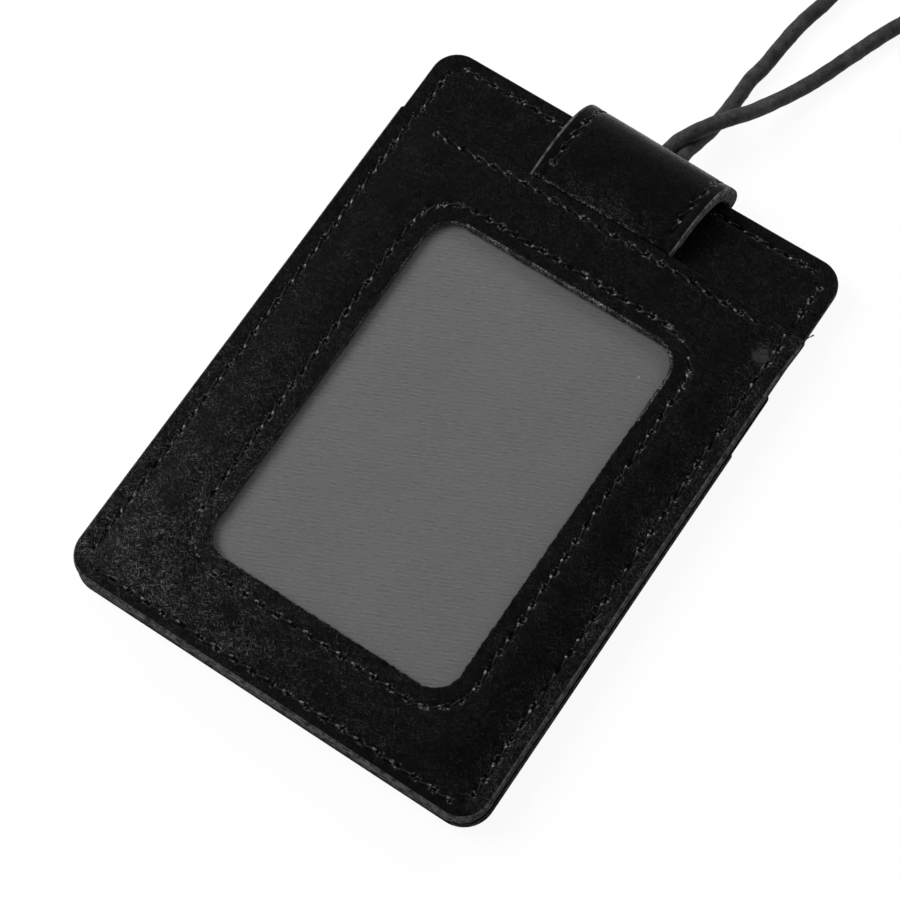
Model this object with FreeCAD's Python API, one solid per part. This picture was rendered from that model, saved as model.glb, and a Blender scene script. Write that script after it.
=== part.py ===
"""Leather ID badge wallet: window pocket in front, two card slots behind, a sewn strap and a neck cord.

The wallet lies on its back. X runs across it, Y runs from its bottom edge to the strap and Z rises out
of the window. The origin is under the middle of the leather, on the surface that carries it.
"""
import FreeCAD, Part
import math
import os

from FreeCAD import Rotation, Vector

# Panel outline
panel_width = 75.0
panel_height = 106.0
top_corner_radius = 4.5
bottom_corner_radius = 5.0

# Layers, from the resting face upwards
slot_leather = 1.0
back_leather = 1.0
board_thickness = 0.4
inner_leather = 0.9
front_leather = 1.1
film_thickness = 0.2
lining_thickness = 0.2

# Front pocket and its window
mouth_drop = 13.6
pocket_rise = 1.2
seam_margin = 4.2
ramp_width = 1.6
field_corner_radius = 4.0
window_side_border = 15.3
window_low_border = 14.2
window_high_border = 12.8
window_corner_radius = 4.5
window_shift = 0.95
film_overlap = 5.5
lining_gap = 0.7

# Card slots on the rear
upper_slot_drop = 23.25
lower_slot_drop = 34.0
slot_relief = 0.3

# Seams: thread lies flush in a shallow groove
edge_pitch = 3.25
top_pitch = 2.75
mouth_pitch = 2.8
window_pitch = 3.0
window_top_pitch = 2.55
strap_pitch = 2.75
stitch_length_share = 0.72
thread_width = 0.6
groove_width = 0.8
groove_depth = 0.35
edge_inset = 2.8
bottom_inset = 2.3
top_inset = 2.2
mouth_inset = 1.8
window_inset = 3.0
slot_mouth_inset = 2.0
strap_inset = 2.2
anchor_inset = 2.0
least_sewn_radius = 3.0

# Strap: side profile of its outer face, from its tail under the pocket mouth to its rear end
strap_width = 26.4
strap_leather = 1.2
strap_lining_leather = 1.2
strap_tail = 5.0
strap_foot_gap = 0.6
strap_rise_run = 6.5
strap_crown_run = 5.5
strap_tunnel_height = 3.7
strap_reach = 3.1
strap_brow_height = 5.2
strap_rear_run = 16.0
foot_radius = 1.0
rise_radius = 4.5
crown_radius = 4.0
brow_radius = 4.0
fold_radius = 2.0
skive_gap = 0.05
lining_lift = 0.1

# Neck cord, its knot inside the strap and the hole that it leaves by
cord_diameter = 2.6
strand_gap = 0.1
cord_offset = 4.0
cord_lift = 0.15
hole_clearance = 0.3
hole_drop = 1.1
knot_width = 8.4
knot_depth = 3.2
knot_height = 3.2
knot_lift = 0.2
knot_seat_gap = 0.3
knot_face_round = 0.2
knot_back_round = 1.3

# Put-away length of the cord: a flat coil in two layers, held by a tie
coil_place = Vector(27.8, 130.8, 0)
coil_heading = 20.0
coil_mean_radius = 15.0
coil_half_turns = 7
coil_gap = 0.5
tie_thickness = 0.5
tie_width = 4.0
tie_gap = 0.5
lead_run = 7.0
bend_share = 0.45

# One length past a face, for clean cuts
overrun = 1.0

# Levels of the layers
z_upper_slot = slot_leather
z_back = z_upper_slot + slot_leather
z_board = z_back + back_leather
z_inner = z_board + board_thickness
z_pocket = z_inner + inner_leather
z_margin = z_pocket + front_leather
z_film = z_pocket + pocket_rise
z_field = z_margin + pocket_rise

# Places along Y, and the heights of the shorter sheets
y_bottom = -(panel_height + strap_reach) / 2
y_top = y_bottom + panel_height
y_mouth = y_top - mouth_drop
y_upper_slot = y_top - upper_slot_drop
y_lower_slot = y_top - lower_slot_drop
y_window_low = y_bottom + window_low_border
y_window_high = y_mouth - window_high_border
mouth_height = panel_height - mouth_drop
upper_slot_height = panel_height - upper_slot_drop
lower_slot_height = panel_height - lower_slot_drop

half_width = panel_width / 2
half_window = half_width - window_side_border
half_strap = strap_width / 2
cord_radius = cord_diameter / 2

X_AXIS = Vector(1, 0, 0)
Z_AXIS = Vector(0, 0, 1)


def unit(vector):
    """Direction of a vector."""
    return Vector(vector).normalize()


def tangent_arc(start, corner, end):
    """Arc from start to end whose end tangents meet at the corner."""
    middle = (start + end) * 0.5
    cosine = (end - start).Length / 2 / (corner - start).Length
    crown = middle + (corner - middle) * (cosine / (1 + cosine))
    return Part.Arc(start, crown, end).toShape()


def rounded_path(points, radii, closed=False):
    """Straight runs through the points, with a tangent arc of the given radius at each corner."""
    entries = []
    exits = []
    for index, (point, radius) in enumerate(zip(points, radii)):
        is_end = not closed and index in (0, len(points) - 1)
        if is_end or radius == 0:
            entries.append(point)
            exits.append(point)
            continue
        arriving = unit(point - points[index - 1])
        leaving = unit(points[(index + 1) % len(points)] - point)
        reach = radius * math.tan(arriving.getAngle(leaving) / 2)
        entries.append(point - arriving * reach)
        exits.append(point + leaving * reach)
    edges = []
    for index, point in enumerate(points):
        if exits[index] != entries[index]:
            edges.append(tangent_arc(entries[index], point, exits[index]))
        following = (index + 1) % len(points)
        if closed or following > 0:
            edges.append(Part.LineSegment(exits[index], entries[following]).toShape())
    return edges


def outline(half, low, high, low_radius, high_radius, z, middle=0):
    """Closed outline about x = middle, with one corner radius at its low end and one at its high end."""
    left = middle - half
    right = middle + half
    corners = [Vector(left, low, z), Vector(right, low, z), Vector(right, high, z), Vector(left, high, z)]
    radii = [low_radius, low_radius, high_radius, high_radius]
    return Part.Wire(rounded_path(corners, radii, closed=True))


def plate(wire, thickness):
    """Flat sheet that rises from its outline."""
    return Part.Face(wire).extrude(Z_AXIS * thickness)


def block(x_low, x_high, y_low, y_high, z_low, z_high):
    """Plain box between two corners."""
    corner = Vector(x_low, y_low, z_low)
    return Part.makeBox(x_high - x_low, y_high - y_low, z_high - z_low, corner)


def ring(half, low, high, low_radius, high_radius, z, middle=0):
    """Groove cutter that follows a closed stitch row, one groove deep under the level z."""
    side = groove_width / 2
    floor = z - groove_depth
    outer = outline(half + side, low - side, high + side, low_radius + side, high_radius + side, floor, middle)
    inner = outline(half - side, low + side, high - side, low_radius - side, high_radius - side, floor, middle)
    return plate(outer, groove_depth).cut(plate(inner, groove_depth))


def stitch(middle, along, normal, length):
    """One stitch with its top at the middle point, sunk against the normal."""
    bar = Part.makeBox(length, thread_width, groove_depth, Vector(-length / 2, -thread_width / 2, -groove_depth))
    bar.rotate(Vector(), *turn_to(along, normal))
    bar.translate(middle)
    return bar


def turn_to(along, normal):
    """Axis and angle that turn X to the stitch direction and Z to the face normal."""
    turn = Rotation(along, normal.cross(along), normal, "XZY")
    return turn.Axis, math.degrees(turn.Angle)


def stitches_on(edges, pitch, normal_at):
    """Evenly spaced stitches on every edge that is long and flat enough to be sewn."""
    row = []
    for edge in edges:
        is_tight = hasattr(edge.Curve, "Radius") and edge.Curve.Radius < least_sewn_radius
        if is_tight:
            continue
        count = max(1, round(edge.Length / pitch))
        marks = edge.discretize(Number=2 * count + 1)
        for first, middle, last in zip(marks[:-2:2], marks[1:-1:2], marks[2::2]):
            along = unit(last - first)
            row.append(stitch(middle, along, normal_at(along), edge.Length / count * stitch_length_share))
    return row


def flat_row(edges, pitch, normal):
    """Stitches on a row that lies on one flat face."""
    return stitches_on(edges, pitch, lambda along: normal)


def at_level(solids, z, low, high):
    """Stitches of a flat row that lie wholly between two Y places, moved to the level z."""
    kept = []
    for solid in solids:
        if solid.BoundBox.YMin > low and solid.BoundBox.YMax < high:
            copy = solid.copy()
            copy.translate(Z_AXIS * z)
            kept.append(copy)
    return kept


# Straight mouth rows and their grooves

def straight_row(half, y, z):
    """Edge of a row that runs across the wallet."""
    return [Part.LineSegment(Vector(-half, y, z), Vector(half, y, z)).toShape()]


def straight_groove(half, y, z_low, z_high):
    """Groove cutter under such a row."""
    side = groove_width / 2
    return block(-half - side, half + side, y - side, y + side, z_low, z_high)


# The perimeter row, on every sheet that it crosses

edge_half = half_width - edge_inset
edge_low = y_bottom + bottom_inset
edge_high = y_top - top_inset
edge_low_radius = bottom_corner_radius - edge_inset
edge_high_radius = top_corner_radius - edge_inset


def perimeter_groove(z):
    """Groove cutter of the perimeter row under the face at z."""
    return ring(edge_half, edge_low, edge_high, edge_low_radius, edge_high_radius, z)


def perimeter_row():
    """Edges of the perimeter row at z = 0."""
    return outline(edge_half, edge_low, edge_high, edge_low_radius, edge_high_radius, 0).Edges


# Leather sheets of the body

def body_sheet(height, z, thickness):
    """Sheet of the panel's outline, cut off square at a height below the top corners or left whole."""
    if height < panel_height:
        wire = outline(half_width, y_bottom, y_bottom + height, bottom_corner_radius, 0, z)
    else:
        wire = outline(half_width, y_bottom, y_top, bottom_corner_radius, top_corner_radius, z)
    return plate(wire, thickness)


def rear_slot(height, z):
    """Leather of one rear card slot, pared inside its sewn border to make room for a card."""
    sheet = body_sheet(height, z, slot_leather)
    mouth = y_bottom + height
    pocket_half = half_width - seam_margin
    relief = outline(pocket_half, y_bottom + seam_margin, mouth + overrun, field_corner_radius, 0,
                     z + slot_leather - slot_relief)
    sheet = sheet.cut(plate(relief, slot_relief))
    sheet = sheet.cut(perimeter_groove(z + groove_depth))
    row_y = mouth - slot_mouth_inset
    return sheet.cut(straight_groove(pocket_half, row_y, z, z + groove_depth))


def slot_mouth_seam(height, z):
    """Stitches along the mouth of a rear slot, flush with its outer face."""
    row = straight_row(half_width - seam_margin, y_bottom + height - slot_mouth_inset, z)
    return flat_row(row, mouth_pitch, -Z_AXIS)


def back_panel():
    """Full leather sheet that carries the rear slots and the strap's rear end."""
    return body_sheet(panel_height, z_back, back_leather).cut(perimeter_groove(z_back + groove_depth))


def stiffener_board():
    """Card board between the two full leather sheets."""
    return body_sheet(panel_height, z_board, board_thickness)


def inner_panel():
    """Full leather sheet that shows above the pocket mouth."""
    return body_sheet(panel_height, z_inner, inner_leather).cut(perimeter_groove(z_pocket))


# Front pocket

def pocket_field(z):
    """Raised field of the front panel, sloping in from the sewn border and running out past the mouth."""
    height = front_leather + pocket_rise
    far = y_mouth + overrun
    low = y_bottom + seam_margin
    base = outline(half_width - seam_margin, low, far, field_corner_radius, 0, z)
    crown = outline(half_width - seam_margin - ramp_width, low + ramp_width, far, field_corner_radius, 0, z + height)
    return Part.makeLoft([base, crown], True, True)


window_row_half = half_window + window_inset
window_row_low = y_window_low - window_inset
window_row_high = y_window_high + window_inset
window_row_radius = window_corner_radius + window_inset
mouth_row_half = half_width - seam_margin - ramp_width - mouth_inset
mouth_row_y = y_mouth - mouth_inset


def front_panel():
    """Window leather: a sewn border on three sides and a field raised over the card space."""
    sheet = body_sheet(mouth_height, z_pocket, front_leather)
    field = pocket_field(z_pocket)
    beyond = block(-half_width, half_width, y_mouth, y_mouth + 2 * overrun, 0, z_field + overrun)
    sheet = sheet.fuse(field.cut(beyond))
    sheet = sheet.cut(pocket_field(z_pocket - front_leather))
    window = outline(half_window, y_window_low, y_window_high, window_corner_radius, window_corner_radius, z_pocket,
                     window_shift)
    sheet = sheet.cut(plate(window, z_field))
    sheet = sheet.cut(perimeter_groove(z_margin))
    sheet = sheet.cut(ring(window_row_half, window_row_low, window_row_high, window_row_radius, window_row_radius,
                           z_field, window_shift))
    return sheet.cut(straight_groove(mouth_row_half, mouth_row_y, z_field - groove_depth, z_field + overrun))


def window_film():
    """Clear film behind the window, held under the window seam."""
    wire = outline(half_window + film_overlap, y_window_low - film_overlap, y_window_high + film_overlap,
                   window_corner_radius, window_corner_radius, z_film - film_thickness, window_shift)
    return plate(wire, film_thickness)


def pocket_lining():
    """Twill lining on the inner panel, seen through the window, ending below the strap's tail."""
    ramp_foot = ramp_width * front_leather / (front_leather + pocket_rise)
    inset = seam_margin + ramp_foot + lining_gap
    high = y_mouth - strap_tail - lining_gap
    wire = outline(half_width - inset, y_bottom + inset, high, field_corner_radius, 0, z_pocket)
    return plate(wire, lining_thickness)


def window_seam():
    """Stitches round the window, set closer along its top."""
    wire = outline(window_row_half, window_row_low, window_row_high, window_row_radius, window_row_radius, z_field,
                   window_shift)
    top = [edge for edge in wire.Edges if edge.BoundBox.YMin > y_window_high]
    rest = [edge for edge in wire.Edges if edge.BoundBox.YMin <= y_window_high]
    return flat_row(rest, window_pitch, Z_AXIS) + flat_row(top, window_top_pitch, Z_AXIS)


def mouth_seam():
    """Stitches along the pocket mouth."""
    return flat_row(straight_row(mouth_row_half, mouth_row_y, z_field), mouth_pitch, Z_AXIS)


def perimeter_seam_front():
    """Perimeter stitches seen from the front: on the front panel's border, then closer on the inner panel."""
    border = flat_row(perimeter_row(), edge_pitch, Z_AXIS)
    top = flat_row(perimeter_row(), top_pitch, Z_AXIS)
    return at_level(border, z_margin, y_bottom, y_mouth) + at_level(top, z_pocket, y_mouth, y_top)


def perimeter_seam_rear():
    """The same seam seen from behind, on the three staggered sheets."""
    border = flat_row(perimeter_row(), edge_pitch, -Z_AXIS)
    top = flat_row(perimeter_row(), top_pitch, -Z_AXIS)
    lower = at_level(border, 0, y_bottom, y_lower_slot)
    upper = at_level(border, z_upper_slot, y_lower_slot, y_upper_slot)
    back = at_level(border, z_back, y_upper_slot, y_mouth)
    return lower + upper + back + at_level(top, z_back, y_mouth, y_top)


# Strap

strap_thickness = strap_leather + strap_lining_leather
y_foot = y_mouth + strap_foot_gap
y_crown = y_foot + strap_rise_run
y_slope = y_crown + strap_crown_run
y_reach = y_top + strap_reach
z_crown = z_pocket + strap_tunnel_height + strap_thickness
z_strap_rear = z_back - strap_leather


def strap_corners():
    """Corners of the strap's outer face in its side view, from the tail over the crown to the rear end."""
    return [
        Vector(0, y_mouth - strap_tail, z_pocket + strap_leather),
        Vector(0, y_foot, z_pocket + strap_leather),
        Vector(0, y_crown, z_crown),
        Vector(0, y_slope, z_crown),
        Vector(0, y_reach, strap_brow_height),
        Vector(0, y_reach, z_strap_rear),
        Vector(0, y_top - strap_rear_run, z_strap_rear),
    ]


strap_radii = [0, foot_radius, rise_radius, crown_radius, brow_radius, fold_radius, 0]


def inner_side(direction):
    """Direction that points from the strap's outer face to its inner face."""
    return direction.cross(X_AXIS)


def strap_offset(corners, radii, depth):
    """The side profile moved inwards by a depth, with its arcs still round the same centres."""
    moved = []
    new_radii = []
    last = len(corners) - 1
    for index, (corner, radius) in enumerate(zip(corners, radii)):
        arriving = unit(corner - corners[index - 1]) if index > 0 else unit(corners[1] - corner)
        leaving = unit(corners[index + 1] - corner) if index < last else arriving
        sides = inner_side(arriving) + inner_side(leaving)
        moved.append(corner + sides * (depth / (1 + arriving.dot(leaving))))
        turns_outwards = inner_side(arriving).dot(leaving) < 0
        new_radii.append(radius + depth if turns_outwards else radius - depth)
    return moved, new_radii


def strap_band(corners, radii, near, far, x_low, x_high):
    """Part of the strap between two depths under its outer face and between two X places."""
    outer_corners, outer_radii = strap_offset(corners, radii, near)
    inner_corners, inner_radii = strap_offset(corners, radii, far)
    outer = rounded_path(outer_corners, outer_radii)
    inner = rounded_path(inner_corners, inner_radii)
    ends = [
        Part.LineSegment(outer_corners[0], inner_corners[0]).toShape(),
        Part.LineSegment(outer_corners[-1], inner_corners[-1]).toShape(),
    ]
    face = Part.Face(Part.Wire(Part.__sortEdges__(outer + inner + ends)))
    band = face.extrude(X_AXIS * (x_high - x_low))
    band.translate(X_AXIS * x_low)
    return band


cord_height = z_pocket + cord_lift + cord_radius
strand_spacing = cord_diameter + strand_gap
hole_width = strand_spacing + cord_diameter + 2 * hole_clearance
hole_low = cord_height - cord_radius - hole_clearance - hole_drop
hole_high = cord_height + cord_radius + hole_clearance
knot_low = z_pocket + knot_lift
knot_high = knot_low + knot_height


def knot_front():
    """Y place of the knot's front face, seated behind the strap's falling inner face."""
    inner, _ = strap_offset(strap_corners(), strap_radii, strap_thickness)
    slope_high = inner[3]
    slope_low = inner[4]
    fall = (slope_high.z - knot_high) / (slope_high.z - slope_low.z)
    return slope_high.y + (slope_low.y - slope_high.y) * fall - knot_seat_gap


def cord_hole():
    """Cutter of the round-ended hole that both strands leave the strap by."""
    side = (hole_high - hole_low) / 2
    middle = (hole_high + hole_low) / 2
    half_flat = hole_width / 2 - side
    y_start = knot_front()
    y_end = y_reach + overrun
    slot = block(cord_offset - half_flat, cord_offset + half_flat, y_start, y_end, hole_low, hole_high)
    for x in (cord_offset - half_flat, cord_offset + half_flat):
        round_end = Part.makeCylinder(side, y_end - y_start, Vector(x, y_start, middle), Vector(0, 1, 0))
        slot = slot.fuse(round_end)
    return slot.removeSplitter()


strap_row_x = half_strap - strap_inset
front_anchor_y = y_mouth - strap_tail + anchor_inset
rear_anchor_y = y_top - strap_rear_run + anchor_inset
tail_top = z_pocket + min(strap_leather, pocket_rise - skive_gap)


def strap_outer():
    """Face leather of the strap, with its tail pared to fit the card space and its rear end sewn on."""
    corners = strap_corners()
    band = strap_band(corners, strap_radii, 0, strap_leather, -half_strap, half_strap)
    band = band.cut(block(-half_strap, half_strap, y_bottom, y_mouth + skive_gap, tail_top, z_field))
    for x in (-strap_row_x, strap_row_x):
        side = groove_width / 2
        groove = strap_band(corners[1:], strap_radii[1:], 0, groove_depth, x - side, x + side)
        band = band.cut(groove)
    band = band.cut(straight_groove(strap_row_x, front_anchor_y, tail_top - groove_depth, z_field))
    band = band.cut(straight_groove(strap_row_x, rear_anchor_y, 0, z_strap_rear + groove_depth))
    return band.cut(cord_hole())


def strap_lining():
    """Second leather under the strap, from the inner panel over the crown to the fold."""
    corners = strap_corners()
    foot, crown = corners[1], corners[2]
    rise = unit(crown - foot)
    start_lift = strap_lining_leather * rise.y + lining_lift
    start = foot + (crown - foot) * (start_lift / (crown.z - foot.z))
    end = Vector(0, y_reach, z_strap_rear + fold_radius)
    profile = [start] + corners[2:5] + [end]
    radii = [0] + strap_radii[2:5] + [0]
    band = strap_band(profile, radii, strap_leather, strap_thickness, -half_strap, half_strap)
    return band.cut(cord_hole())


def strap_side_seam(x):
    """Stitches along one side of the strap, following its outer face from the rise to the rear run."""
    edges = rounded_path(strap_corners(), strap_radii)[2:]
    row = stitches_on(edges, strap_pitch, lambda along: inner_side(along) * -1)
    rear_limit = rear_anchor_y + strap_pitch
    kept = [bar for bar in row if bar.BoundBox.YMin > rear_limit and bar.BoundBox.YMin > y_foot]
    for bar in kept:
        bar.translate(X_AXIS * x)
    return kept


def strap_front_anchor_seam():
    """Stitches that hold the strap's tail to the inner panel, under the pocket mouth."""
    return flat_row(straight_row(strap_row_x, front_anchor_y, tail_top), strap_pitch, Z_AXIS)


def strap_rear_anchor_seam():
    """Stitches that hold the strap's rear end to the back panel."""
    return flat_row(straight_row(strap_row_x, rear_anchor_y, z_strap_rear), strap_pitch, -Z_AXIS)


# Neck cord

def cord_knot():
    """Flattened end knot inside the strap, too wide for the hole."""
    front = knot_front()
    half = knot_width / 2
    body = block(cord_offset - half, cord_offset + half, front - knot_depth, front, knot_low, knot_high)
    back_edges = [edge for edge in body.Edges if edge.BoundBox.YMax < front]
    body = body.makeFillet(knot_back_round, back_edges)
    face_edges = [edge for edge in body.Edges if edge.BoundBox.YMin > front - knot_face_round]
    return body.makeFillet(knot_face_round, face_edges)


heading = Vector(math.sin(math.radians(coil_heading)), math.cos(math.radians(coil_heading)), 0)
across = Vector(heading.y, -heading.x, 0)
coil_step = cord_diameter + coil_gap
coil_spread = coil_step * coil_half_turns / 4
coil_low = tie_thickness + tie_gap + cord_radius
coil_high = coil_low + coil_step
coil_outer_radius = coil_mean_radius + coil_spread


def coil_node(half_turn, radius, z, shrink, climb):
    """Point and tangent of the coil after a number of clockwise half turns from its left side."""
    angle = math.pi * half_turn
    outward = across * -math.cos(angle) + heading * math.sin(angle)
    forward = across * math.sin(angle) + heading * math.cos(angle)
    point = coil_place + outward * radius + Z_AXIS * z
    return point, unit(forward * radius + outward * shrink + Z_AXIS * climb)


def coil_nodes():
    """Nodes of a spiral in, a climb that reverses it half a turn later, and the spiral out."""
    rate = coil_step / 2 / math.pi
    inner_radius = coil_outer_radius - coil_half_turns * coil_step / 2
    nodes = []
    for turn in range(coil_half_turns + 1):
        nodes.append(coil_node(turn, coil_outer_radius - turn * coil_step / 2, coil_low, -rate, 0))
    middle_turn = coil_half_turns + 0.5
    middle_z = (coil_low + coil_high) / 2
    nodes.append(coil_node(middle_turn, inner_radius - coil_step / 4, middle_z, 0, coil_step / 2))
    for turn in range(coil_half_turns + 1):
        radius = inner_radius + turn * coil_step / 2
        nodes.append(coil_node(coil_half_turns + 1 + turn, radius, coil_high, rate, 0))
    return nodes


def biarc(start, start_way, end, end_way):
    """Two tangent arcs from one point and direction to another."""
    chord = end - start
    ways = start_way + end_way
    slack = 2 * (1 - start_way.dot(end_way))
    lean = chord.dot(ways)
    reach = (math.sqrt(lean * lean + slack * chord.dot(chord)) - lean) / slack
    near = start + start_way * reach
    far = end - end_way * reach
    joint = (near + far) * 0.5
    return [tangent_arc(start, near, joint), tangent_arc(joint, far, end)]


def coil_path():
    """Centre line of the coil, with a straight end one diameter long at each side."""
    nodes = coil_nodes()
    first, first_way = nodes[0]
    last, last_way = nodes[-1]
    edges = [Part.LineSegment(first - first_way * cord_diameter, first).toShape()]
    for (start, start_way), (end, end_way) in zip(nodes[:-1], nodes[1:]):
        edges += biarc(start, start_way, end, end_way)
    edges.append(Part.LineSegment(last, last + last_way * cord_diameter).toShape())
    return Part.Wire(edges)


def tube(path):
    """Round cord along a path."""
    start = path.Edges[0].valueAt(path.Edges[0].FirstParameter)
    way = path.Edges[0].tangentAt(path.Edges[0].FirstParameter)
    section = Part.Wire(Part.makeCircle(cord_radius, start, way))
    solid = path.makePipeShell([section], True, False)
    expected = math.pi * cord_radius ** 2 * path.Length
    print("tube", round(path.Length, 1), "mm long, volume over section times length", round(solid.Volume / expected, 4))
    return solid


def least_gap(path):
    """Least clear space between turns of a coil, measured on points along it."""
    marks = path.discretize(Distance=cord_radius)
    apart = int(math.pi * coil_mean_radius / cord_radius / 2)
    return min(
        marks[i].distanceToPoint(marks[j]) for i in range(len(marks)) for j in range(i + apart, len(marks))
    ) - cord_diameter


knot_y = knot_front()
upper_x = cord_offset + strand_spacing / 2
lower_x = cord_offset - strand_spacing / 2
first_lead, first_way = coil_nodes()[0]
last_lead, last_way = coil_nodes()[-1]
first_lead = first_lead - first_way * cord_diameter
last_lead = last_lead + last_way * cord_diameter

# Upper strand: leaves on the right, passes under the other one and lies on the surface
upper_route = [
    Vector(upper_x, knot_y, cord_height),
    Vector(upper_x, 52.0, cord_height),
    Vector(5.4, 55.4, 5.3),
    Vector(5.9, 60.4, 3.0),
    Vector(6.25, 66.6, 1.7),
    Vector(6.1, 73.6, 1.5),
    Vector(6.85, 80.5, 1.5),
    Vector(7.5, 87.4, 1.5),
    Vector(9.2, 94.0, 1.5),
    Vector(9.7, 101.2, 1.5),
    Vector(8.8, 108.1, 1.5),
    Vector(6.7, 114.8, 1.7),
    Vector(5.0, 121.7, 2.1),
    first_lead - first_way * lead_run,
    first_lead,
]

# Lower strand: leaves on the left, crosses over the other one and comes down beside it
lower_route = [
    Vector(lower_x, knot_y, cord_height),
    Vector(lower_x, 52.0, cord_height),
    Vector(2.75, 55.3, 5.85),
    Vector(3.75, 58.1, 6.4),
    Vector(5.95, 61.1, 6.9),
    Vector(8.3, 64.3, 6.2),
    Vector(10.8, 69.0, 4.5),
    Vector(13.2, 74.9, 2.5),
    Vector(15.9, 81.1, 1.5),
    Vector(18.4, 87.6, 1.5),
    Vector(21.2, 94.8, 1.5),
    Vector(25.2, 102.3, 1.6),
    Vector(31.5, 106.2, 2.4),
    Vector(38.2, 109.3, 3.9),
    last_lead + last_way * lead_run,
    last_lead,
]


def strand(name, route):
    """Free stretch of the cord: straight runs joined by arcs as large as the runs allow."""
    radii = [0]
    for before, here, after in zip(route[:-2], route[1:-1], route[2:]):
        half_turn = (here - before).getAngle(after - here) / 2
        shorter = min((here - before).Length, (after - here).Length)
        radii.append(bend_share * shorter / math.tan(half_turn))
    radii.append(0)
    print(name, "bend radii", [round(radius, 1) for radius in radii[1:-1]])
    return tube(Part.Wire(rounded_path(route, radii)))


def cord_coil():
    """The cord's put-away length, wound in two layers."""
    path = coil_path()
    print("coil least gap", round(least_gap(path), 2), "mm")
    return tube(path)


def coil_tie():
    """Band round all turns on the coil's far side."""
    quarter_inset = coil_step / 4
    far = coil_outer_radius - quarter_inset + cord_radius + tie_gap
    turns_there = (coil_half_turns - 1) // 2
    near = coil_outer_radius - quarter_inset - turns_there * coil_step - cord_radius - tie_gap
    top = coil_high + cord_radius + tie_gap
    half = tie_width / 2
    outer = block(near - tie_thickness, far + tie_thickness, -half, half, 0, top + tie_thickness)
    opening = block(near, far, -tie_width, tie_width, tie_thickness, top)
    band = outer.cut(opening)
    band.rotate(Vector(), Z_AXIS, math.degrees(math.atan2(heading.y, heading.x)))
    band.translate(coil_place)
    return band


def write(name, shape):
    """Write one piece, or one group of like pieces, under its own name."""
    solids = shape if isinstance(shape, list) else [shape]
    group = solids[0] if len(solids) == 1 else Part.makeCompound(solids)
    count = sum(len(solid.Solids) for solid in solids)
    print(name, "solids", count, "valid", group.isValid(), "volume", round(group.Volume, 1))
    group.exportStep(os.path.join("parts", name + ".step"))


def main():
    """Build every piece of the wallet."""
    os.makedirs("parts", exist_ok=True)
    write("front_panel", front_panel())
    write("window_film", window_film())
    write("pocket_lining", pocket_lining())
    write("inner_panel", inner_panel())
    write("stiffener_board", stiffener_board())
    write("back_panel", back_panel())
    write("rear_slot_upper", rear_slot(upper_slot_height, z_upper_slot))
    write("rear_slot_lower", rear_slot(lower_slot_height, 0))
    write("strap_outer", strap_outer())
    write("strap_lining", strap_lining())
    write("perimeter_seam_front", perimeter_seam_front())
    write("perimeter_seam_rear", perimeter_seam_rear())
    write("window_seam", window_seam())
    write("mouth_seam", mouth_seam())
    write("rear_upper_mouth_seam", slot_mouth_seam(upper_slot_height, z_upper_slot))
    write("rear_lower_mouth_seam", slot_mouth_seam(lower_slot_height, 0))
    write("strap_left_seam", strap_side_seam(-strap_row_x))
    write("strap_right_seam", strap_side_seam(strap_row_x))
    write("strap_front_anchor_seam", strap_front_anchor_seam())
    write("strap_rear_anchor_seam", strap_rear_anchor_seam())
    write("cord_knot", cord_knot())
    write("cord_upper_strand", strand("upper strand", upper_route))
    write("cord_lower_strand", strand("lower strand", lower_route))
    write("cord_coil", cord_coil())
    write("coil_tie", coil_tie())


main()
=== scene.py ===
"""Black leather badge wallet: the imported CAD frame, dressed with modelled leather, thread, film, twill and cord.

Sizes are written in millimetres, in the frame's own axes: X across the wallet, Y towards the strap, Z out of the
window. Every mesh is scaled to metres when its piece is made. Greys are linear values.
"""

import logging
import math
import random
from dataclasses import astuple, dataclass, field
from enum import Enum
from typing import Any, Callable, Iterator, Sequence

import bmesh
import bpy
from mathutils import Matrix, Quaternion, Vector, kdtree, noise


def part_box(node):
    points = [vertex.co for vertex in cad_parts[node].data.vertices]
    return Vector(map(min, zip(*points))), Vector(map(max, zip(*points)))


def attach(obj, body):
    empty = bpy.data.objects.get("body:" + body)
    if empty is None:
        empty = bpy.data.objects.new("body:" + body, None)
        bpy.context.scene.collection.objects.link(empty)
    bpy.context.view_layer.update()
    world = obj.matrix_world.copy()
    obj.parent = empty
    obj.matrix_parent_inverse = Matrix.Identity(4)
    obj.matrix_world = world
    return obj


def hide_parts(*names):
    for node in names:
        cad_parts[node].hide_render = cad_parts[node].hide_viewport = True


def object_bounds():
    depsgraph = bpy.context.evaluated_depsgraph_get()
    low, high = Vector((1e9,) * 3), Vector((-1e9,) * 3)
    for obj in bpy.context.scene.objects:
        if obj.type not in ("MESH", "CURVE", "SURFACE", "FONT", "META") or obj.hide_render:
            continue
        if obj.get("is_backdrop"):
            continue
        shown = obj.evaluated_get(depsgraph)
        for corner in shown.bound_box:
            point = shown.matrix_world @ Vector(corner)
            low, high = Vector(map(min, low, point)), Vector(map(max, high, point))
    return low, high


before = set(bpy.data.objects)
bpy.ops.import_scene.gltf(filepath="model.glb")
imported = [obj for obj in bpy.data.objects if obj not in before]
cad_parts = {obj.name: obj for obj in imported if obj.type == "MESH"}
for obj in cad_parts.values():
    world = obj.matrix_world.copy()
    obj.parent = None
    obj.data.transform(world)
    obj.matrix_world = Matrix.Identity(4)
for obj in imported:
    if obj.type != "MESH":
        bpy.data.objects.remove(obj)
CAD_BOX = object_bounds()

MM = 0.001
HALF_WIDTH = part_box("front_panel")[1].x / MM
# Distance under which the points of one mesh are joined
MERGE = 0.0001
# How far the wallet's right side runs out for its length
SKEW = 0.0065
# Distance between a stitch's needle holes, as a share of its CAD bar
REACH_SHARE = 1.12
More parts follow.
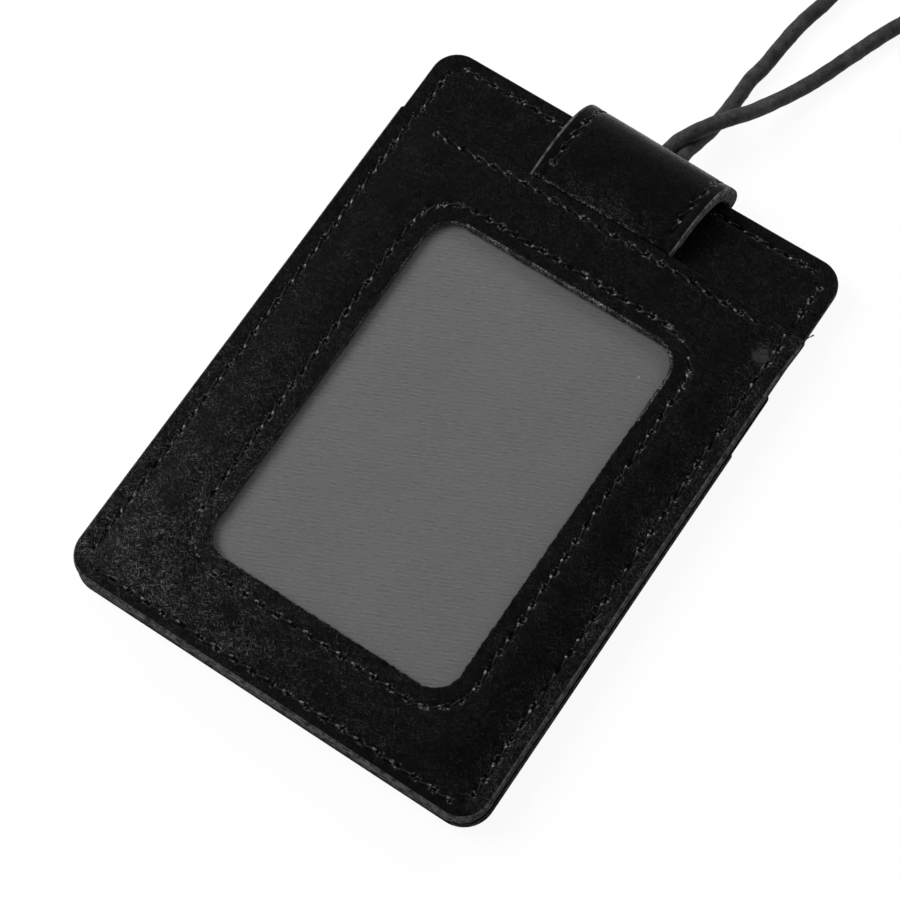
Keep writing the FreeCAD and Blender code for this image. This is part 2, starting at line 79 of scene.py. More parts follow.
# Mean of a noise
MIDDLE = 0.5
log = logging.getLogger("badge_wallet")

Height = Callable[[float, float], float]
Place = Callable[[float, float, float], Vector]
Span = tuple[float, float]
Point = tuple[float, float, float]
Colour = tuple[float, float, float, float]
Socket = bpy.types.NodeSocket

WHOLE: Span = (0.0, 1.0)
FALLING: Span = (1.0, 0.0)
WAVE: Span = (-1.0, 1.0)


class Body(Enum):
    """CAD bodies that pieces ride on."""

    WALLET = "wallet"
    CORD = "cord"


class Slot(Enum):
    """Material slots of the record."""

    LEATHER = "leather"
    FILM = "film"
    LINING = "lining"
    BOARD = "board"
    THREAD = "thread"
    CORD = "cord"
    TIE = "tie"


class Coat(Enum):
    """Materials of a leather, by index."""

    FACE = 0
    EDGE = 1
    RAW = 2


class Facing(Enum):
    """Side of a flat sheet that a seam is seen on."""

    FRONT = 1.0
    REAR = -1.0


def smooth(share: float) -> float:
    """Ease a share from 0 to 1 in and out."""
    share = min(max(share, 0.0), 1.0)
    return share * share * (3.0 - 2.0 * share)


def bump(distance: float, width: float) -> float:
    """Bell curve that is 1 at no distance and fades over the width."""
    return math.exp(-((distance / width) ** 2))


def ramp(value: float, span: Span) -> float:
    """Share that eases from 0 at the start of a span to 1 at its end."""
    return smooth((value - span[0]) / (span[1] - span[0]))


def metres(span: Span, base: float = 0.0) -> Span:
    """Span in metres of one that is given in millimetres above a base."""
    return (base + span[0]) * MM, (base + span[1]) * MM


def node_box(node: str) -> tuple[Vector, Vector]:
    """Lowest and highest corner of a CAD node, in millimetres."""
    low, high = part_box(node)
    return low / MM, high / MM


@dataclass(frozen=True)
class Sway:
    """Smooth noise over a flat sheet: its height, the distance over which it changes and its own offset."""

    height: float
    length: float
    seed: float

    def at(self, x: float, y: float) -> float:
        """Height at a place on the sheet."""
        return self.height * noise.noise(Vector((x / self.length, y / self.length, self.seed)))


# Node trees

@dataclass(frozen=True)
class Mottle:
    """Noise pattern: the width of its patches, its octaves, the share of the finer ones and the span drawn out."""

    size: float
    detail: float = 2.0
    rough: float = 0.5
    drawn: Span = WHOLE


@dataclass(frozen=True)
class Wander:
    """Wandering coordinates: the distance over which they change, and how far they go."""

    size: float
    reach: float


@dataclass(frozen=True)
class Stroke:
    """Short strokes: their turn about Z in degrees, their length, their width and how much they bend."""

    turn: float
    length: float
    width: float
    bend: float = 0.5
    detail: float = 2.0
    rough: float = 0.55


class Graph:
    """Node tree of a material or a world, with short calls that add and join its nodes."""

    def __init__(self, owner: bpy.types.Material | bpy.types.World) -> None:
        """Start with an empty tree.

        Args:
            owner: The material or world.
        """
        owner.use_nodes = True
        self.owner = owner
        self.tree = owner.node_tree
        self.tree.nodes.clear()

    @classmethod
    def of_material(cls, name: str) -> "Graph":
        """Tree of a new material."""
        return cls(bpy.data.materials.new(name))

    def add(self, kind: str, inputs: dict[str | int, Any] | None = None, **settings: Any) -> bpy.types.Node:
        """Add a node.

        Args:
            kind: Type name without its ShaderNode prefix.
            inputs: Value or source socket of each input.
            settings: Properties of the node itself.

        Returns:
            The new node.
        """
        node = self.tree.nodes.new("ShaderNode" + kind)
        for key, value in settings.items():
            setattr(node, key, value)
        for key, value in (inputs or {}).items():
            if isinstance(value, Socket):
                self.tree.links.new(value, node.inputs[key])
            else:
                node.inputs[key].default_value = value
        return node

    def place(self, output: str = "Object") -> Socket:
        """Texture coordinates of the piece."""
        return self.add("TexCoord").outputs[output]

    def parts(self, vector: Socket) -> Any:
        """X, Y and Z sockets of a vector."""
        return self.add("SeparateXYZ", {"Vector": vector}).outputs

    def math(self, operation: str, first: Any, second: Any = 0.0, clamp: bool = False) -> Socket:
        """Result of one Math node."""
        return self.add("Math", {0: first, 1: second}, operation=operation, use_clamp=clamp).outputs[0]

    def product(self, first: Any, *others: Any) -> Socket:
        """Values multiplied in turn.

        Args:
            first: Value or socket.
            others: More of them.

        Returns:
            Value socket.
        """
        for other in others:
            first = self.math("MULTIPLY", first, other)
        return first

    def total(self, first: Any, *others: Any) -> Socket:
        """Values added in turn.

        Args:
            first: Value or socket.
            others: More of them.

        Returns:
            Value socket.
        """
        for other in others:
            first = self.math("ADD", first, other)
        return first

    def spread(self, value: Any, span: Span, ends: Span = WHOLE) -> Socket:
        """Value moved from one span to another and held there."""
        return self.add("MapRange", {"Value": value, "From Min": span[0], "From Max": span[1], "To Min": ends[0],
                                     "To Max": ends[1]}).outputs["Result"]

    def noise(self, vector: Any, pattern: Mottle) -> Socket:
        """Plain noise of a pattern."""
        return self.add("TexNoise", {"Vector": vector, "Scale": 1.0 / (pattern.size * MM), "Detail": pattern.detail,
                                     "Roughness": pattern.rough}).outputs["Fac"]

    def mottle(self, vector: Any, pattern: Mottle, ends: Span = WHOLE) -> Socket:
        """Noise of a pattern, drawn out to the given ends."""
        return self.spread(self.noise(vector, pattern), pattern.drawn, ends)

    def bent(self, vector: Any, wander: Wander) -> Socket:
        """Coordinates that wander.

        Args:
            vector: Coordinates in metres.
            wander: How they wander.

        Returns:
            Vector socket.
        """
        drift = self.add("TexNoise", {"Vector": vector, "Scale": 1.0 / (wander.size * MM), "Detail": 1.0})
        offset = self.add("VectorMath", {0: drift.outputs["Color"], 1: (MIDDLE,) * 3}, operation="SUBTRACT")
        return self.add("VectorMath", {0: offset.outputs["Vector"], 1: (wander.reach * MM,) * 3, 2: vector},
                        operation="MULTIPLY_ADD").outputs["Vector"]

    def spot(self, vector: Any, middle: Point, reach: float) -> Socket:
        """Value that falls from 1 at a point to 0 at a distance, both in millimetres.

        Args:
            vector: Coordinates in metres.
            middle: The point.
            reach: The distance.

        Returns:
            Value socket.
        """
        point = tuple(part * MM for part in middle)
        away = self.add("VectorMath", {0: vector, 1: point}, operation="DISTANCE").outputs["Value"]
        return self.spread(away, metres((0.0, reach)), FALLING)

    def streaks(self, vector: Any, stroke: Stroke) -> Socket:
        """Noise drawn out into short strokes.

        Args:
            vector: Coordinates in metres.
            stroke: Shape of the strokes.

        Returns:
            Value socket.
        """
        drawn = self.add("Mapping", {"Vector": vector, "Rotation": (0.0, 0.0, math.radians(stroke.turn)),
                                     "Scale": (stroke.length * MM, stroke.width * MM, stroke.width * MM)},
                         vector_type="TEXTURE")
        return self.add("TexNoise", {"Vector": drawn.outputs["Vector"], "Scale": 1.0, "Detail": stroke.detail,
                                     "Roughness": stroke.rough, "Distortion": stroke.bend}).outputs["Fac"]

    def blend(self, share: Any, first: Any, second: Any) -> Socket:
        """Colour between two colours."""
        return self.add("Mix", {0: share, 6: first, 7: second}, data_type="RGBA").outputs[2]

    def relief(self, height: Any, depth: float) -> Socket:
        """Normal that shows a height of the given depth in millimetres."""
        return self.add("Bump", {"Height": height, "Distance": depth * MM, "Strength": 1.0}).outputs["Normal"]

    def seen(self) -> Socket:
        """1 for a ray that shows what it meets, and 0 for one that only carries light.

        Returns:
            Value socket.
        """
        path = self.add("LightPath").outputs
        mirrored = self.math("MAXIMUM", path["Is Glossy Ray"], path["Is Transmission Ray"])
        return self.math("MAXIMUM", path["Is Camera Ray"], mirrored)

    def coat(self, colour: Socket, roughness: Any, specular: float, normal: Socket, sheen: float = 0.0,
             sheen_roughness: float = 0.35) -> bpy.types.Material:
        """Close the material with a plain coat.

        Args:
            colour: Base colour.
            roughness: Value or socket.
            specular: Level of the reflection.
            normal: Relief.
            sheen: Weight of the glow at grazing angles.
            sheen_roughness: Softness of that glow.

        Returns:
            The finished material.
        """
        shader = self.add("BsdfPrincipled", {"Base Color": colour, "Roughness": roughness, "Normal": normal,
                                             "Specular IOR Level": specular, "Sheen Weight": sheen,
                                             "Sheen Roughness": sheen_roughness})
        return self.close(shader.outputs["BSDF"])

    def close(self, surface: Socket) -> bpy.types.Material:
        """Join the surface to the output and give the material back."""
        self.add("OutputMaterial", {"Surface": surface})
        return self.owner


def grey(value: float, blue: float = 1.02) -> Colour:
    """Grey of a linear value, with a trace of blue."""
    return (value, value, value * blue, 1.0)


# Finishes

@dataclass(frozen=True)
class FibreGlintShare:
    """Where leather shows its pale fibre strokes, partly painted glints: about one point, fewer in a strip along its
    bottom edge, more in a band of painted light just inside that strip, and along its right side.
    """

    least: float = 0.20
    most: float = 1.0
    at: Point = (-34.0, -50.0, 6.0)
    reach: float = 64.0
    across: float = 1.0
    fall: float = 1.5
    wander: Wander = Wander(3.0, 1.6)
    # Strip along the bottom edge where fewer strokes show, and how it fades
    sparse_below: float = -80.0
    sparse_fade: Span = (0.0, 1.2)
    sparse_share: float = 0.25
    # Band just inside the bottom strip where more strokes show: painted light on the leather's slope that faces the
    # light
    band: Span = (1.0, 7.5)
    lit_band_share: float = 0.9
    lit_band_across: Span = (-5.0, 26.0)
    right: Span = (31.5, 36.0)
    right_most: float = 0.0
    patch: Mottle = Mottle(4.0, 3.0, 0.6, (0.32, 0.68))
    patch_ends: Span = (0.35, 1.65)

    def density(self, graph: Graph, place: Socket) -> Socket:
        """Share of the pale fibre strokes, partly painted glints, that shows at a place.

        Args:
            graph: Node tree of the material.
            place: Coordinates of the piece.

        Returns:
            Value socket.
        """
        x, y, z = self.at
        wide = graph.add("Mapping", {"Vector": place, "Scale": (1.0 / self.across, 1.0, 1.0)}).outputs["Vector"]
        near = graph.math("POWER", graph.spot(wide, (x / self.across, y, z), self.reach), self.fall)
        at = graph.parts(graph.bent(place, self.wander))
        border = graph.spread(at["Y"], metres(self.sparse_fade, self.sparse_below), (self.sparse_share, 1.0))
        # Painted light: more strokes in a band where the leather's slope faces the light
        inside = graph.spread(at["Y"], metres(self.band, self.sparse_below), (self.lit_band_share, 0.0))
        band = graph.product(inside, graph.spread(at["X"], metres(self.lit_band_across), (self.most, 0.0)), near)
        right = graph.spread(at["X"], metres(self.right), (0.0, self.right_most))
        share = graph.total(graph.product(near, self.most), self.least, band, right)
        return graph.product(share, border, graph.mottle(place, self.patch, self.patch_ends))


@dataclass(frozen=True)
class LeatherFinish:
    """Dyed black leather with pale fibres, partly painted glints, a scratch, a painted dent highlight, and painted
    shade and lip glints at its holes.
    """

    name: str = "brushed_leather"
    fibre_glint_share: FibreGlintShare = FibreGlintShare()
    deep: float = 0.0009
    pale: float = 0.0026
    ground: Mottle = Mottle(1.8, 4.0, 0.65, (0.3, 0.7))
    # Grey of the pale fibre strokes, which are partly real fibres and partly painted glints
    fibre_glint_grey: float = 0.100
    strokes: tuple[Stroke, Stroke] = (Stroke(25.0, 1.1, 0.21), Stroke(-55.0, 0.9, 0.20))
    stroke_wander: Wander = Wander(1.5, 1.3)
    stroke_drawn: Span = (0.42, 0.78)
    stroke_power: float = 2.8
    # Pale spots, each a point and a reach; the panel's are a scratch and a painted highlight on a dent
    scratch_and_dent_highlight: tuple[tuple[Point, float], ...] = ()
    scratch_and_highlight_grey: float = 0.040
    spot_wander: Wander = Wander(1.0, 1.8)
    spot_grain: Mottle = Mottle(0.5, 3.0, 0.6)
    spot_drawn: Span = (0.10, 0.45)
    # Grey of the needle holes: painted shade
    hole: float = 0.0004
    hole_shade_drawn: Span = (0.15, 0.7)
    # Pale specks on the lips of the needle holes: painted highlights where the lips catch the light
    lip_highlight: float = 0.16
    lip_highlight_rise: Span = (0.02, 0.25)
    lip_highlight_fall: Span = (0.45, 0.75)
    lip_highlight_grain: Mottle = Mottle(0.4, 3.0, 0.65, (0.50, 0.66))
    lip_highlight_patch: Mottle = Mottle(3.4, 2.0, 0.5, (0.36, 0.54))
    grain: Mottle = Mottle(0.22, 3.0, 0.6)
    cell: float = 0.42
    cell_share: float = 0.5
    depth: float = 0.05
    roughness: float = 0.40
    gloss: Mottle = Mottle(2.6, 3.0, 0.6, (0.3, 0.7))
    gloss_reach: Span = (-0.07, 0.08)
    specular: float = 0.025
    sheen: float = 0.0

    def dyed(self, graph: Graph, place: Socket, strokes: Socket) -> Socket:
        """Colour of the dyed face with its pale fibres, partly painted glints, its scratch and the painted highlight of
        its dent.

        Args:
            graph: Node tree of the material.
            place: Coordinates of the piece.
            strokes: Height of the fibres.

        Returns:
            Colour socket.
        """
        # Pale fibre strokes, partly real fibres and partly painted glints
        fibres = graph.math("MULTIPLY", graph.math("POWER", strokes, self.stroke_power),
                            self.fibre_glint_share.density(graph, place), clamp=True)
        ground = graph.blend(graph.mottle(place, self.ground), grey(self.deep), grey(self.pale))
        colour = graph.blend(fibres, ground, grey(self.fibre_glint_grey))
        # Pale spots: the scratch, and the painted highlight on the dent
        for middle, reach in self.scratch_and_dent_highlight:
            near = graph.spot(graph.bent(place, self.spot_wander), middle, reach)
            spotted = graph.product(near, graph.noise(place, self.spot_grain))
            colour = graph.blend(graph.spread(spotted, self.spot_drawn), colour, grey(self.scratch_and_highlight_grey))
        return colour

    def pierced(self, graph: Graph, place: Socket, colour: Socket) -> Socket:
        """Colour with painted shade in the needle holes and painted highlights on their lips.

        Args:
            graph: Node tree of the material.
            place: Coordinates of the piece.
            colour: Colour of the face.

        Returns:
            Colour socket.
        """
        hole = graph.add("Attribute", attribute_name="hole").outputs["Fac"]
        # Painted highlights on the lips of the holes
        lip_highlight = graph.product(graph.spread(hole, self.lip_highlight_rise), graph.spread(hole, self.lip_highlight_fall, FALLING),
                            graph.mottle(place, self.lip_highlight_grain), graph.mottle(place, self.lip_highlight_patch))
        # Painted shade in the needle holes
        colour = graph.blend(graph.spread(hole, self.hole_shade_drawn), colour, grey(self.hole))
        return graph.blend(lip_highlight, colour, grey(self.lip_highlight))

    def material(self) -> bpy.types.Material:
        """Make the node material.

        Returns:
            The finished material.
        """
        graph = Graph.of_material(self.name)
        place = graph.place()
        bent = graph.bent(place, self.stroke_wander)
        strokes = graph.math("MAXIMUM", *(graph.streaks(bent, stroke) for stroke in self.strokes))
        strokes = graph.spread(strokes, self.stroke_drawn)
        colour = self.pierced(graph, place, self.dyed(graph, place, strokes))
        cells = graph.add("TexVoronoi", {"Vector": place, "Scale": 1.0 / (self.cell * MM), "Randomness": 1.0},
                          feature="SMOOTH_F1").outputs["Distance"]
        grain = graph.math("SUBTRACT", graph.noise(place, self.grain), graph.product(cells, self.cell_share))
        normal = graph.relief(graph.total(grain, strokes), self.depth)
        low, high = self.gloss_reach
        gloss = graph.mottle(place, self.gloss, (self.roughness + low, self.roughness + high))
        return graph.coat(colour, gloss, self.specular, normal, self.sheen)


@dataclass(frozen=True)
class EdgePaintFinish:
    """Worn grey paint on the cut edges; the faces towards -Y, along the bottom, take their own grey, which paints in
    the light that falls on that side.
    """

    name: str = "painted_edge"
    deep: float = 0.014
    side: float = 0.070
    # Grey of the faces towards -Y, set apart from the sides' grey as painted light and shade
    bottom: float = 0.125
    # Mottle of worn paint
    paint_wear_and_glint: Mottle = Mottle(0.9, 4.0, 0.7, (0.38, 0.62))
    painted_light_facing: Span = (-0.9, -0.5)
    grain: Mottle = Mottle(0.4, 3.0, 0.6)
    depth: float = 0.10
    roughness: float = 0.8
    specular: float = 0.0

    def material(self) -> bpy.types.Material:
        """Make the node material.

        Returns:
            The finished material.
        """
        graph = Graph.of_material(self.name)
        place = graph.place()
        # Painted light: faces towards -Y take the bottom grey, the others the side grey
        facing = graph.spread(graph.parts(graph.place("Normal"))["Y"], self.painted_light_facing, FALLING)
        pale = graph.blend(facing, grey(self.side), grey(self.bottom))
        colour = graph.blend(graph.mottle(place, self.paint_wear_and_glint), grey(self.deep), pale)
        normal = graph.relief(graph.noise(place, self.grain), self.depth)
        return graph.coat(colour, self.roughness, self.specular, normal)


@dataclass(frozen=True)
class RawEdgeFinish:
    """Cut but unpainted leather edge, dark with pale loose fibres, partly painted light: fewer show lower down, where
    less light falls.
    """

    name: str = "raw_edge"
    deep: float = 0.0015
    pale: float = 0.34
    fuzz: Mottle = Mottle(0.28, 3.0, 0.65, (0.42, 0.74))
    fuzz_power: float = 1.6
    patch: Mottle = Mottle(3.0, 2.0, 0.5, (0.35, 0.65))
    patch_ends: Span = (0.25, 1.0)
    lit_upward: Span = (0.0, 16.0)
    lit_upward_ends: Span = (0.60, 1.0)
    depth: float = 0.08
    roughness: float = 0.7
    specular: float = 0.1

    def material(self) -> bpy.types.Material:
        """Make the node material.

        Returns:
            The finished material.
        """
        graph = Graph.of_material(self.name)
        place = graph.place()
        fuzz = graph.noise(place, self.fuzz)
        # Painted light: the pale fibres fade lower down
        patch = graph.product(graph.mottle(place, self.patch, self.patch_ends),
                              graph.spread(graph.parts(place)["Y"], metres(self.lit_upward), self.lit_upward_ends))
        drawn = graph.math("POWER", graph.spread(fuzz, self.fuzz.drawn), self.fuzz_power)
        colour = graph.blend(graph.product(drawn, patch), grey(self.deep), grey(self.pale))
        return graph.coat(colour, self.roughness, self.specular, graph.relief(fuzz, self.depth))


@dataclass(frozen=True)
class ThreadFinish:
    """Waxed black thread, with its twist and a painted glint near one end of each stitch, on the stitch's own UV map.
    """

    name: str = "waxed_thread"
    deep: float = 0.0015
    pale: float = 0.006
    turns: float = 5.0
    plies: float = 2.0
    shade: Mottle = Mottle(0.15)
    glint: float = 0.34
    glint_at: float = 0.78
    glint_sway: float = 0.28
    glint_place: Mottle = Mottle(1.9, 1.0)
    glint_reach: Span = (0.04, 0.17)
    glint_grain: Mottle = Mottle(0.3, 3.0, 0.65, (0.44, 0.60))
    glint_patch: Mottle = Mottle(2.6, 2.0, 0.5, (0.36, 0.56))
    glint_ends: Span = (0.08, 1.0)
    depth: float = 0.05
    roughness: float = 0.4
    specular: float = 0.15

    def material(self) -> bpy.types.Material:
        """Make the node material.

        Returns:
            The finished material.
        """
        graph = Graph.of_material(self.name)
        place = graph.place()
        along = graph.parts(graph.place("UV"))
        turn = graph.total(graph.product(along["Y"], self.turns), along["X"])
        height = graph.spread(graph.math("SINE", graph.product(turn, 2.0 * math.pi * self.plies)), WAVE)
        shade = graph.product(height, graph.noise(place, self.shade))
        colour = graph.blend(shade, grey(self.deep), grey(self.pale))
        # Painted glint near one end of each stitch, where it dips into its hole
        sway = graph.product(graph.noise(place, self.glint_place), self.glint_sway)
        spot = graph.total(self.glint_at - self.glint_sway / 2, sway)
        away = graph.math("ABSOLUTE", graph.math("SUBTRACT", along["Y"], spot))
        paint_wear_and_glint = graph.product(graph.spread(away, self.glint_reach, FALLING), graph.mottle(place, self.glint_grain),
                             graph.mottle(place, self.glint_patch, self.glint_ends))
        colour = graph.blend(paint_wear_and_glint, colour, grey(self.glint))
        return graph.coat(colour, self.roughness, self.specular, graph.relief(height, self.depth))


@dataclass(frozen=True)
class TwillFinish:
    """Grey lining cloth with a slanting twill line."""

    name: str = "grey_twill"
    colour: float = 0.116
    contrast: float = 0.24
    slant: float = 25.0
    line: float = 0.66
    line_sway: Mottle = Mottle(1.5)
    line_sway_share: float = 1.1
    dash: Stroke = Stroke(slant, 1.2, 0.55, 0.4)
    dash_drawn: Span = (0.47, 0.62)
    dash_share: float = 0.42
    slub: Stroke = Stroke(slant, 0.7, 0.22, 0.3)
    slub_share: float = 0.75
    cloud: Mottle = Mottle(9.0)
    cloud_share: float = 0.35
    depth: float = 0.02
    roughness: float = 0.85
    specular: float = 0.2

    def material(self) -> bpy.types.Material:
        """Make the node material.

        Returns:
            The finished material.
        """
        graph = Graph.of_material(self.name)
        place = graph.place()
        turned = graph.add("Mapping", {"Vector": place, "Rotation": (0.0, 0.0, math.radians(-self.slant))})
        across = graph.product(graph.parts(turned.outputs["Vector"])["Y"], 1.0 / (self.line * MM))
        row = graph.total(across, graph.product(graph.noise(place, self.line_sway), self.line_sway_share))
        rib = graph.math("SINE", graph.product(row, 2.0 * math.pi))
        yarn = graph.product(rib, graph.spread(graph.streaks(place, self.dash), self.dash_drawn))
        slub = graph.math("SUBTRACT", graph.streaks(place, self.slub), MIDDLE)
        cloud = graph.math("SUBTRACT", graph.noise(place, self.cloud), MIDDLE)
        shade = graph.total(graph.product(yarn, self.dash_share), graph.product(slub, self.slub_share),
                            graph.product(cloud, self.cloud_share), MIDDLE)
        deep, pale = self.colour * (1.0 - self.contrast), self.colour * (1.0 + self.contrast)
        colour = graph.blend(shade, grey(deep), grey(pale))
        return graph.coat(colour, self.roughness, self.specular, graph.relief(yarn, self.depth))


@dataclass(frozen=True)
class FilmFinish:
    """Clear window film with a soft gloss, a little haze and one pale fleck."""

    name: str = "clear_film"
    sway: Mottle = Mottle(9.0)
    depth: float = 0.05
    ior: float = 1.45
    clear: float = 0.97
    gloss: float = 0.9
    roughness: float = 0.16
    haze: float = 0.5
    haze_share: float = 0.02
    fleck_at: Point = (19.6, 18.7, 5.5)
    fleck_reach: float = 0.3
    fleck_drawn: Span = (0.2, 0.8)
    fleck_share: float = 0.4

    def material(self) -> bpy.types.Material:
        """Make the node material.

        Returns:
            The finished material.
        """
        graph = Graph.of_material(self.name)
        place = graph.place()
        normal = graph.relief(graph.noise(place, self.sway), self.depth)
        outside = graph.math("SUBTRACT", 1.0, graph.add("NewGeometry").outputs["Backfacing"])
        edge = graph.product(graph.add("Fresnel", {"IOR": self.ior, "Normal": normal}).outputs["Fac"], outside)
        clear = graph.add("BsdfTransparent", {"Color": grey(self.clear, 1.0)}).outputs["BSDF"]
        gloss = graph.add("BsdfGlossy", {"Color": grey(self.gloss, 1.0), "Roughness": self.roughness,
                                         "Normal": normal}).outputs["BSDF"]
        haze = graph.add("BsdfDiffuse", {"Color": grey(self.haze, 1.0)}).outputs["BSDF"]
        fleck = graph.spot(place, self.fleck_at, self.fleck_reach)
        share = graph.spread(fleck, self.fleck_drawn, (self.haze_share, self.fleck_share))
        body = graph.add("MixShader", {0: share, 1: clear, 2: haze}).outputs["Shader"]
        return graph.close(graph.add("MixShader", {0: edge, 1: body, 2: gloss}).outputs["Shader"])


@dataclass(frozen=True)
class CordFinish:
    """Waxed cotton cord with fine fibres over soft lumps."""

    name: str = "waxed_cotton"
    deep: float = 0.003
    pale: float = 0.036
    lump: Mottle = Mottle(1.6, 3.0, 0.6)
    fuzz: Mottle = Mottle(0.35, 3.0, 0.6)
    fuzz_share: float = 0.4
    fuzz_height: float = 0.6
    drawn: Span = (0.38, 0.64)
    depth: float = 0.07
    roughness: float = 0.7
    specular: float = 0.25

    def material(self) -> bpy.types.Material:
        """Make the node material.

        Returns:
            The finished material.
        """
        graph = Graph.of_material(self.name)
        place = graph.place()
        lump, fuzz = graph.noise(place, self.lump), graph.noise(place, self.fuzz)
        shade = graph.total(graph.product(fuzz, self.fuzz_share), graph.product(lump, 1.0 - self.fuzz_share))
        colour = graph.blend(graph.spread(shade, self.drawn), grey(self.deep), grey(self.pale))
        height = graph.total(graph.product(fuzz, self.fuzz_height), lump)
        return graph.coat(colour, self.roughness, self.specular, graph.relief(height, self.depth))


@dataclass(frozen=True)
class BoardFinish:
    """Grey card board, seen only at its edge."""

    name: str = "card_board"
    deep: Colour = (0.010, 0.010, 0.010, 1.0)
    pale: Colour = (0.030, 0.028, 0.026, 1.0)
    pulp: Mottle = Mottle(0.6, 4.0, 0.6)
    depth: float = 0.05
    roughness: float = 0.9
    specular: float = 0.1

    def material(self) -> bpy.types.Material:
        """Make the node material.

        Returns:
            The finished material.
        """
        graph = Graph.of_material(self.name)
        pulp = graph.noise(graph.place(), self.pulp)
        colour = graph.blend(pulp, self.deep, self.pale)
        return graph.coat(colour, self.roughness, self.specular, graph.relief(pulp, self.depth))


@dataclass(frozen=True)
class TieFinish:
    """Ribbed black band of the coil, paler on its raised ribs, under a mottle."""

    name: str = "ribbed_band"
    deep: float = 0.010
    pale: float = 0.030
    ribs: float = 110.0
    rib_mottle: Mottle = Mottle(0.8, 3.0, 0.6)
    depth: float = 0.08
    roughness: float = 0.7
    specular: float = 0.3

    def material(self) -> bpy.types.Material:
        """Make the node material.

        Returns:
            The finished material.
        """
        graph = Graph.of_material(self.name)
        around = graph.product(graph.parts(graph.place("UV"))["Y"], 2.0 * math.pi * self.ribs)
        rib = graph.spread(graph.math("SINE", around), WAVE)
        rib_tone = graph.product(rib, graph.noise(graph.place(), self.rib_mottle))
        colour = graph.blend(rib_tone, grey(self.deep), grey(self.pale))
        return graph.coat(colour, self.roughness, self.specular, graph.relief(rib, self.depth))


@dataclass(frozen=True)
class FloorFinish:
    """White surface that glows for what looks at it and keeps a faint shadow."""

    name: str = "white_surface"
    deep: float = 0.80
    pale: float = 0.82
    paper: Mottle = Mottle(3.0)
    glow: float = 1.02
    shadow_share: float = 0.10

    def material(self) -> bpy.types.Material:
        """Make the node material.

        Returns:
            The finished material.
        """
        graph = Graph.of_material(self.name)
        paper = graph.blend(graph.noise(graph.place(), self.paper), grey(self.deep, 1.0), grey(self.pale, 1.0))
        lit = graph.add("BsdfDiffuse", {"Color": paper}).outputs["BSDF"]
        glow = graph.add("Emission", {"Color": grey(1.0, 1.0), "Strength": self.glow}).outputs["Emission"]
        white = graph.product(graph.seen(), 1.0 - self.shadow_share)
        return graph.close(graph.add("MixShader", {0: white, 1: lit, 2: glow}).outputs["Shader"])


# Shapes that several pieces share

QUARTER_STEPS = 4
QUARTER = [(1.0 - math.sin(angle), 1.0 - math.cos(angle))
           for angle in (math.pi / 2 * step / QUARTER_STEPS for step in range(QUARTER_STEPS + 1))]


@dataclass(frozen=True)
class Outline:
    """Rounded rectangle seen from above.

    A place on it runs from 0 to 8: its low side, then corner and side in turn, anticlockwise.
    """

    half: float
    low: float
    high: float
    low_radius: float
    high_radius: float
    middle: float = 0.0

    def grown(self, by: float) -> "Outline":
        """Outline moved outwards, or inwards by less than nothing.

        Args:
            by: Distance.

        Returns:
            The new outline, whose corners stay a little round.
        """
        least = 0.12
        return Outline(self.half + by, self.low - by, self.high + by, max(self.low_radius + by, least),
                       max(self.high_radius + by, least), self.middle)

    def mixed(self, other: "Outline", share: float) -> "Outline":
        """Outline that is a share of the way to another one."""
        return Outline(*(near + (far - near) * share for near, far in zip(astuple(self), astuple(other))))

    def point(self, place: float) -> tuple[float, float]:
        """Point at a place.

        Args:
            place: From 0 to 8.

        Returns:
            X and Y.
        """
        side = int(place) % 8
        share = place - int(place)
        left, right = self.middle - self.half, self.middle + self.half
        low, high = self.low_radius, self.high_radius
        if side % 2:
            radius = low if side in (1, 7) else high
            x = right - radius if side in (1, 3) else left + radius
            y = self.low + radius if side in (1, 7) else self.high - radius
            angle = math.pi / 2 * ((side - 3) // 2 + share)
            return x + radius * math.cos(angle), y + radius * math.sin(angle)
        if side in (0, 4):
            radius = low if side == 0 else high
            share = share if side == 0 else 1.0 - share
            x = left + radius + (right - left - 2.0 * radius) * share
            return x, self.low if side == 0 else self.high
        share = share if side == 2 else 1.0 - share
        y = self.low + low + (self.high - self.low - low - high) * share
        return (right if side == 2 else left), y

    def inset(self, x: float, y: float) -> float:
        """Distance of a point inwards from the outline, less than nothing outside it.

        Args:
            x: Across the wallet.
            y: Along the wallet.

        Returns:
            Distance.
        """
        centre = (self.low + self.high) / 2
        radius = self.low_radius if y < centre else self.high_radius
        across = abs(x - self.middle) - self.half + radius
        along = abs(y - centre) - (self.high - self.low) / 2 + radius
        return radius - math.hypot(max(across, 0.0), max(along, 0.0)) - min(max(across, along), 0.0)


@dataclass(frozen=True)
class Station:
    """One ring of a sheet: the outline that it follows, its height and whether the edge paint covers it."""

    outline: Outline
    height: Height
    painted: bool = False


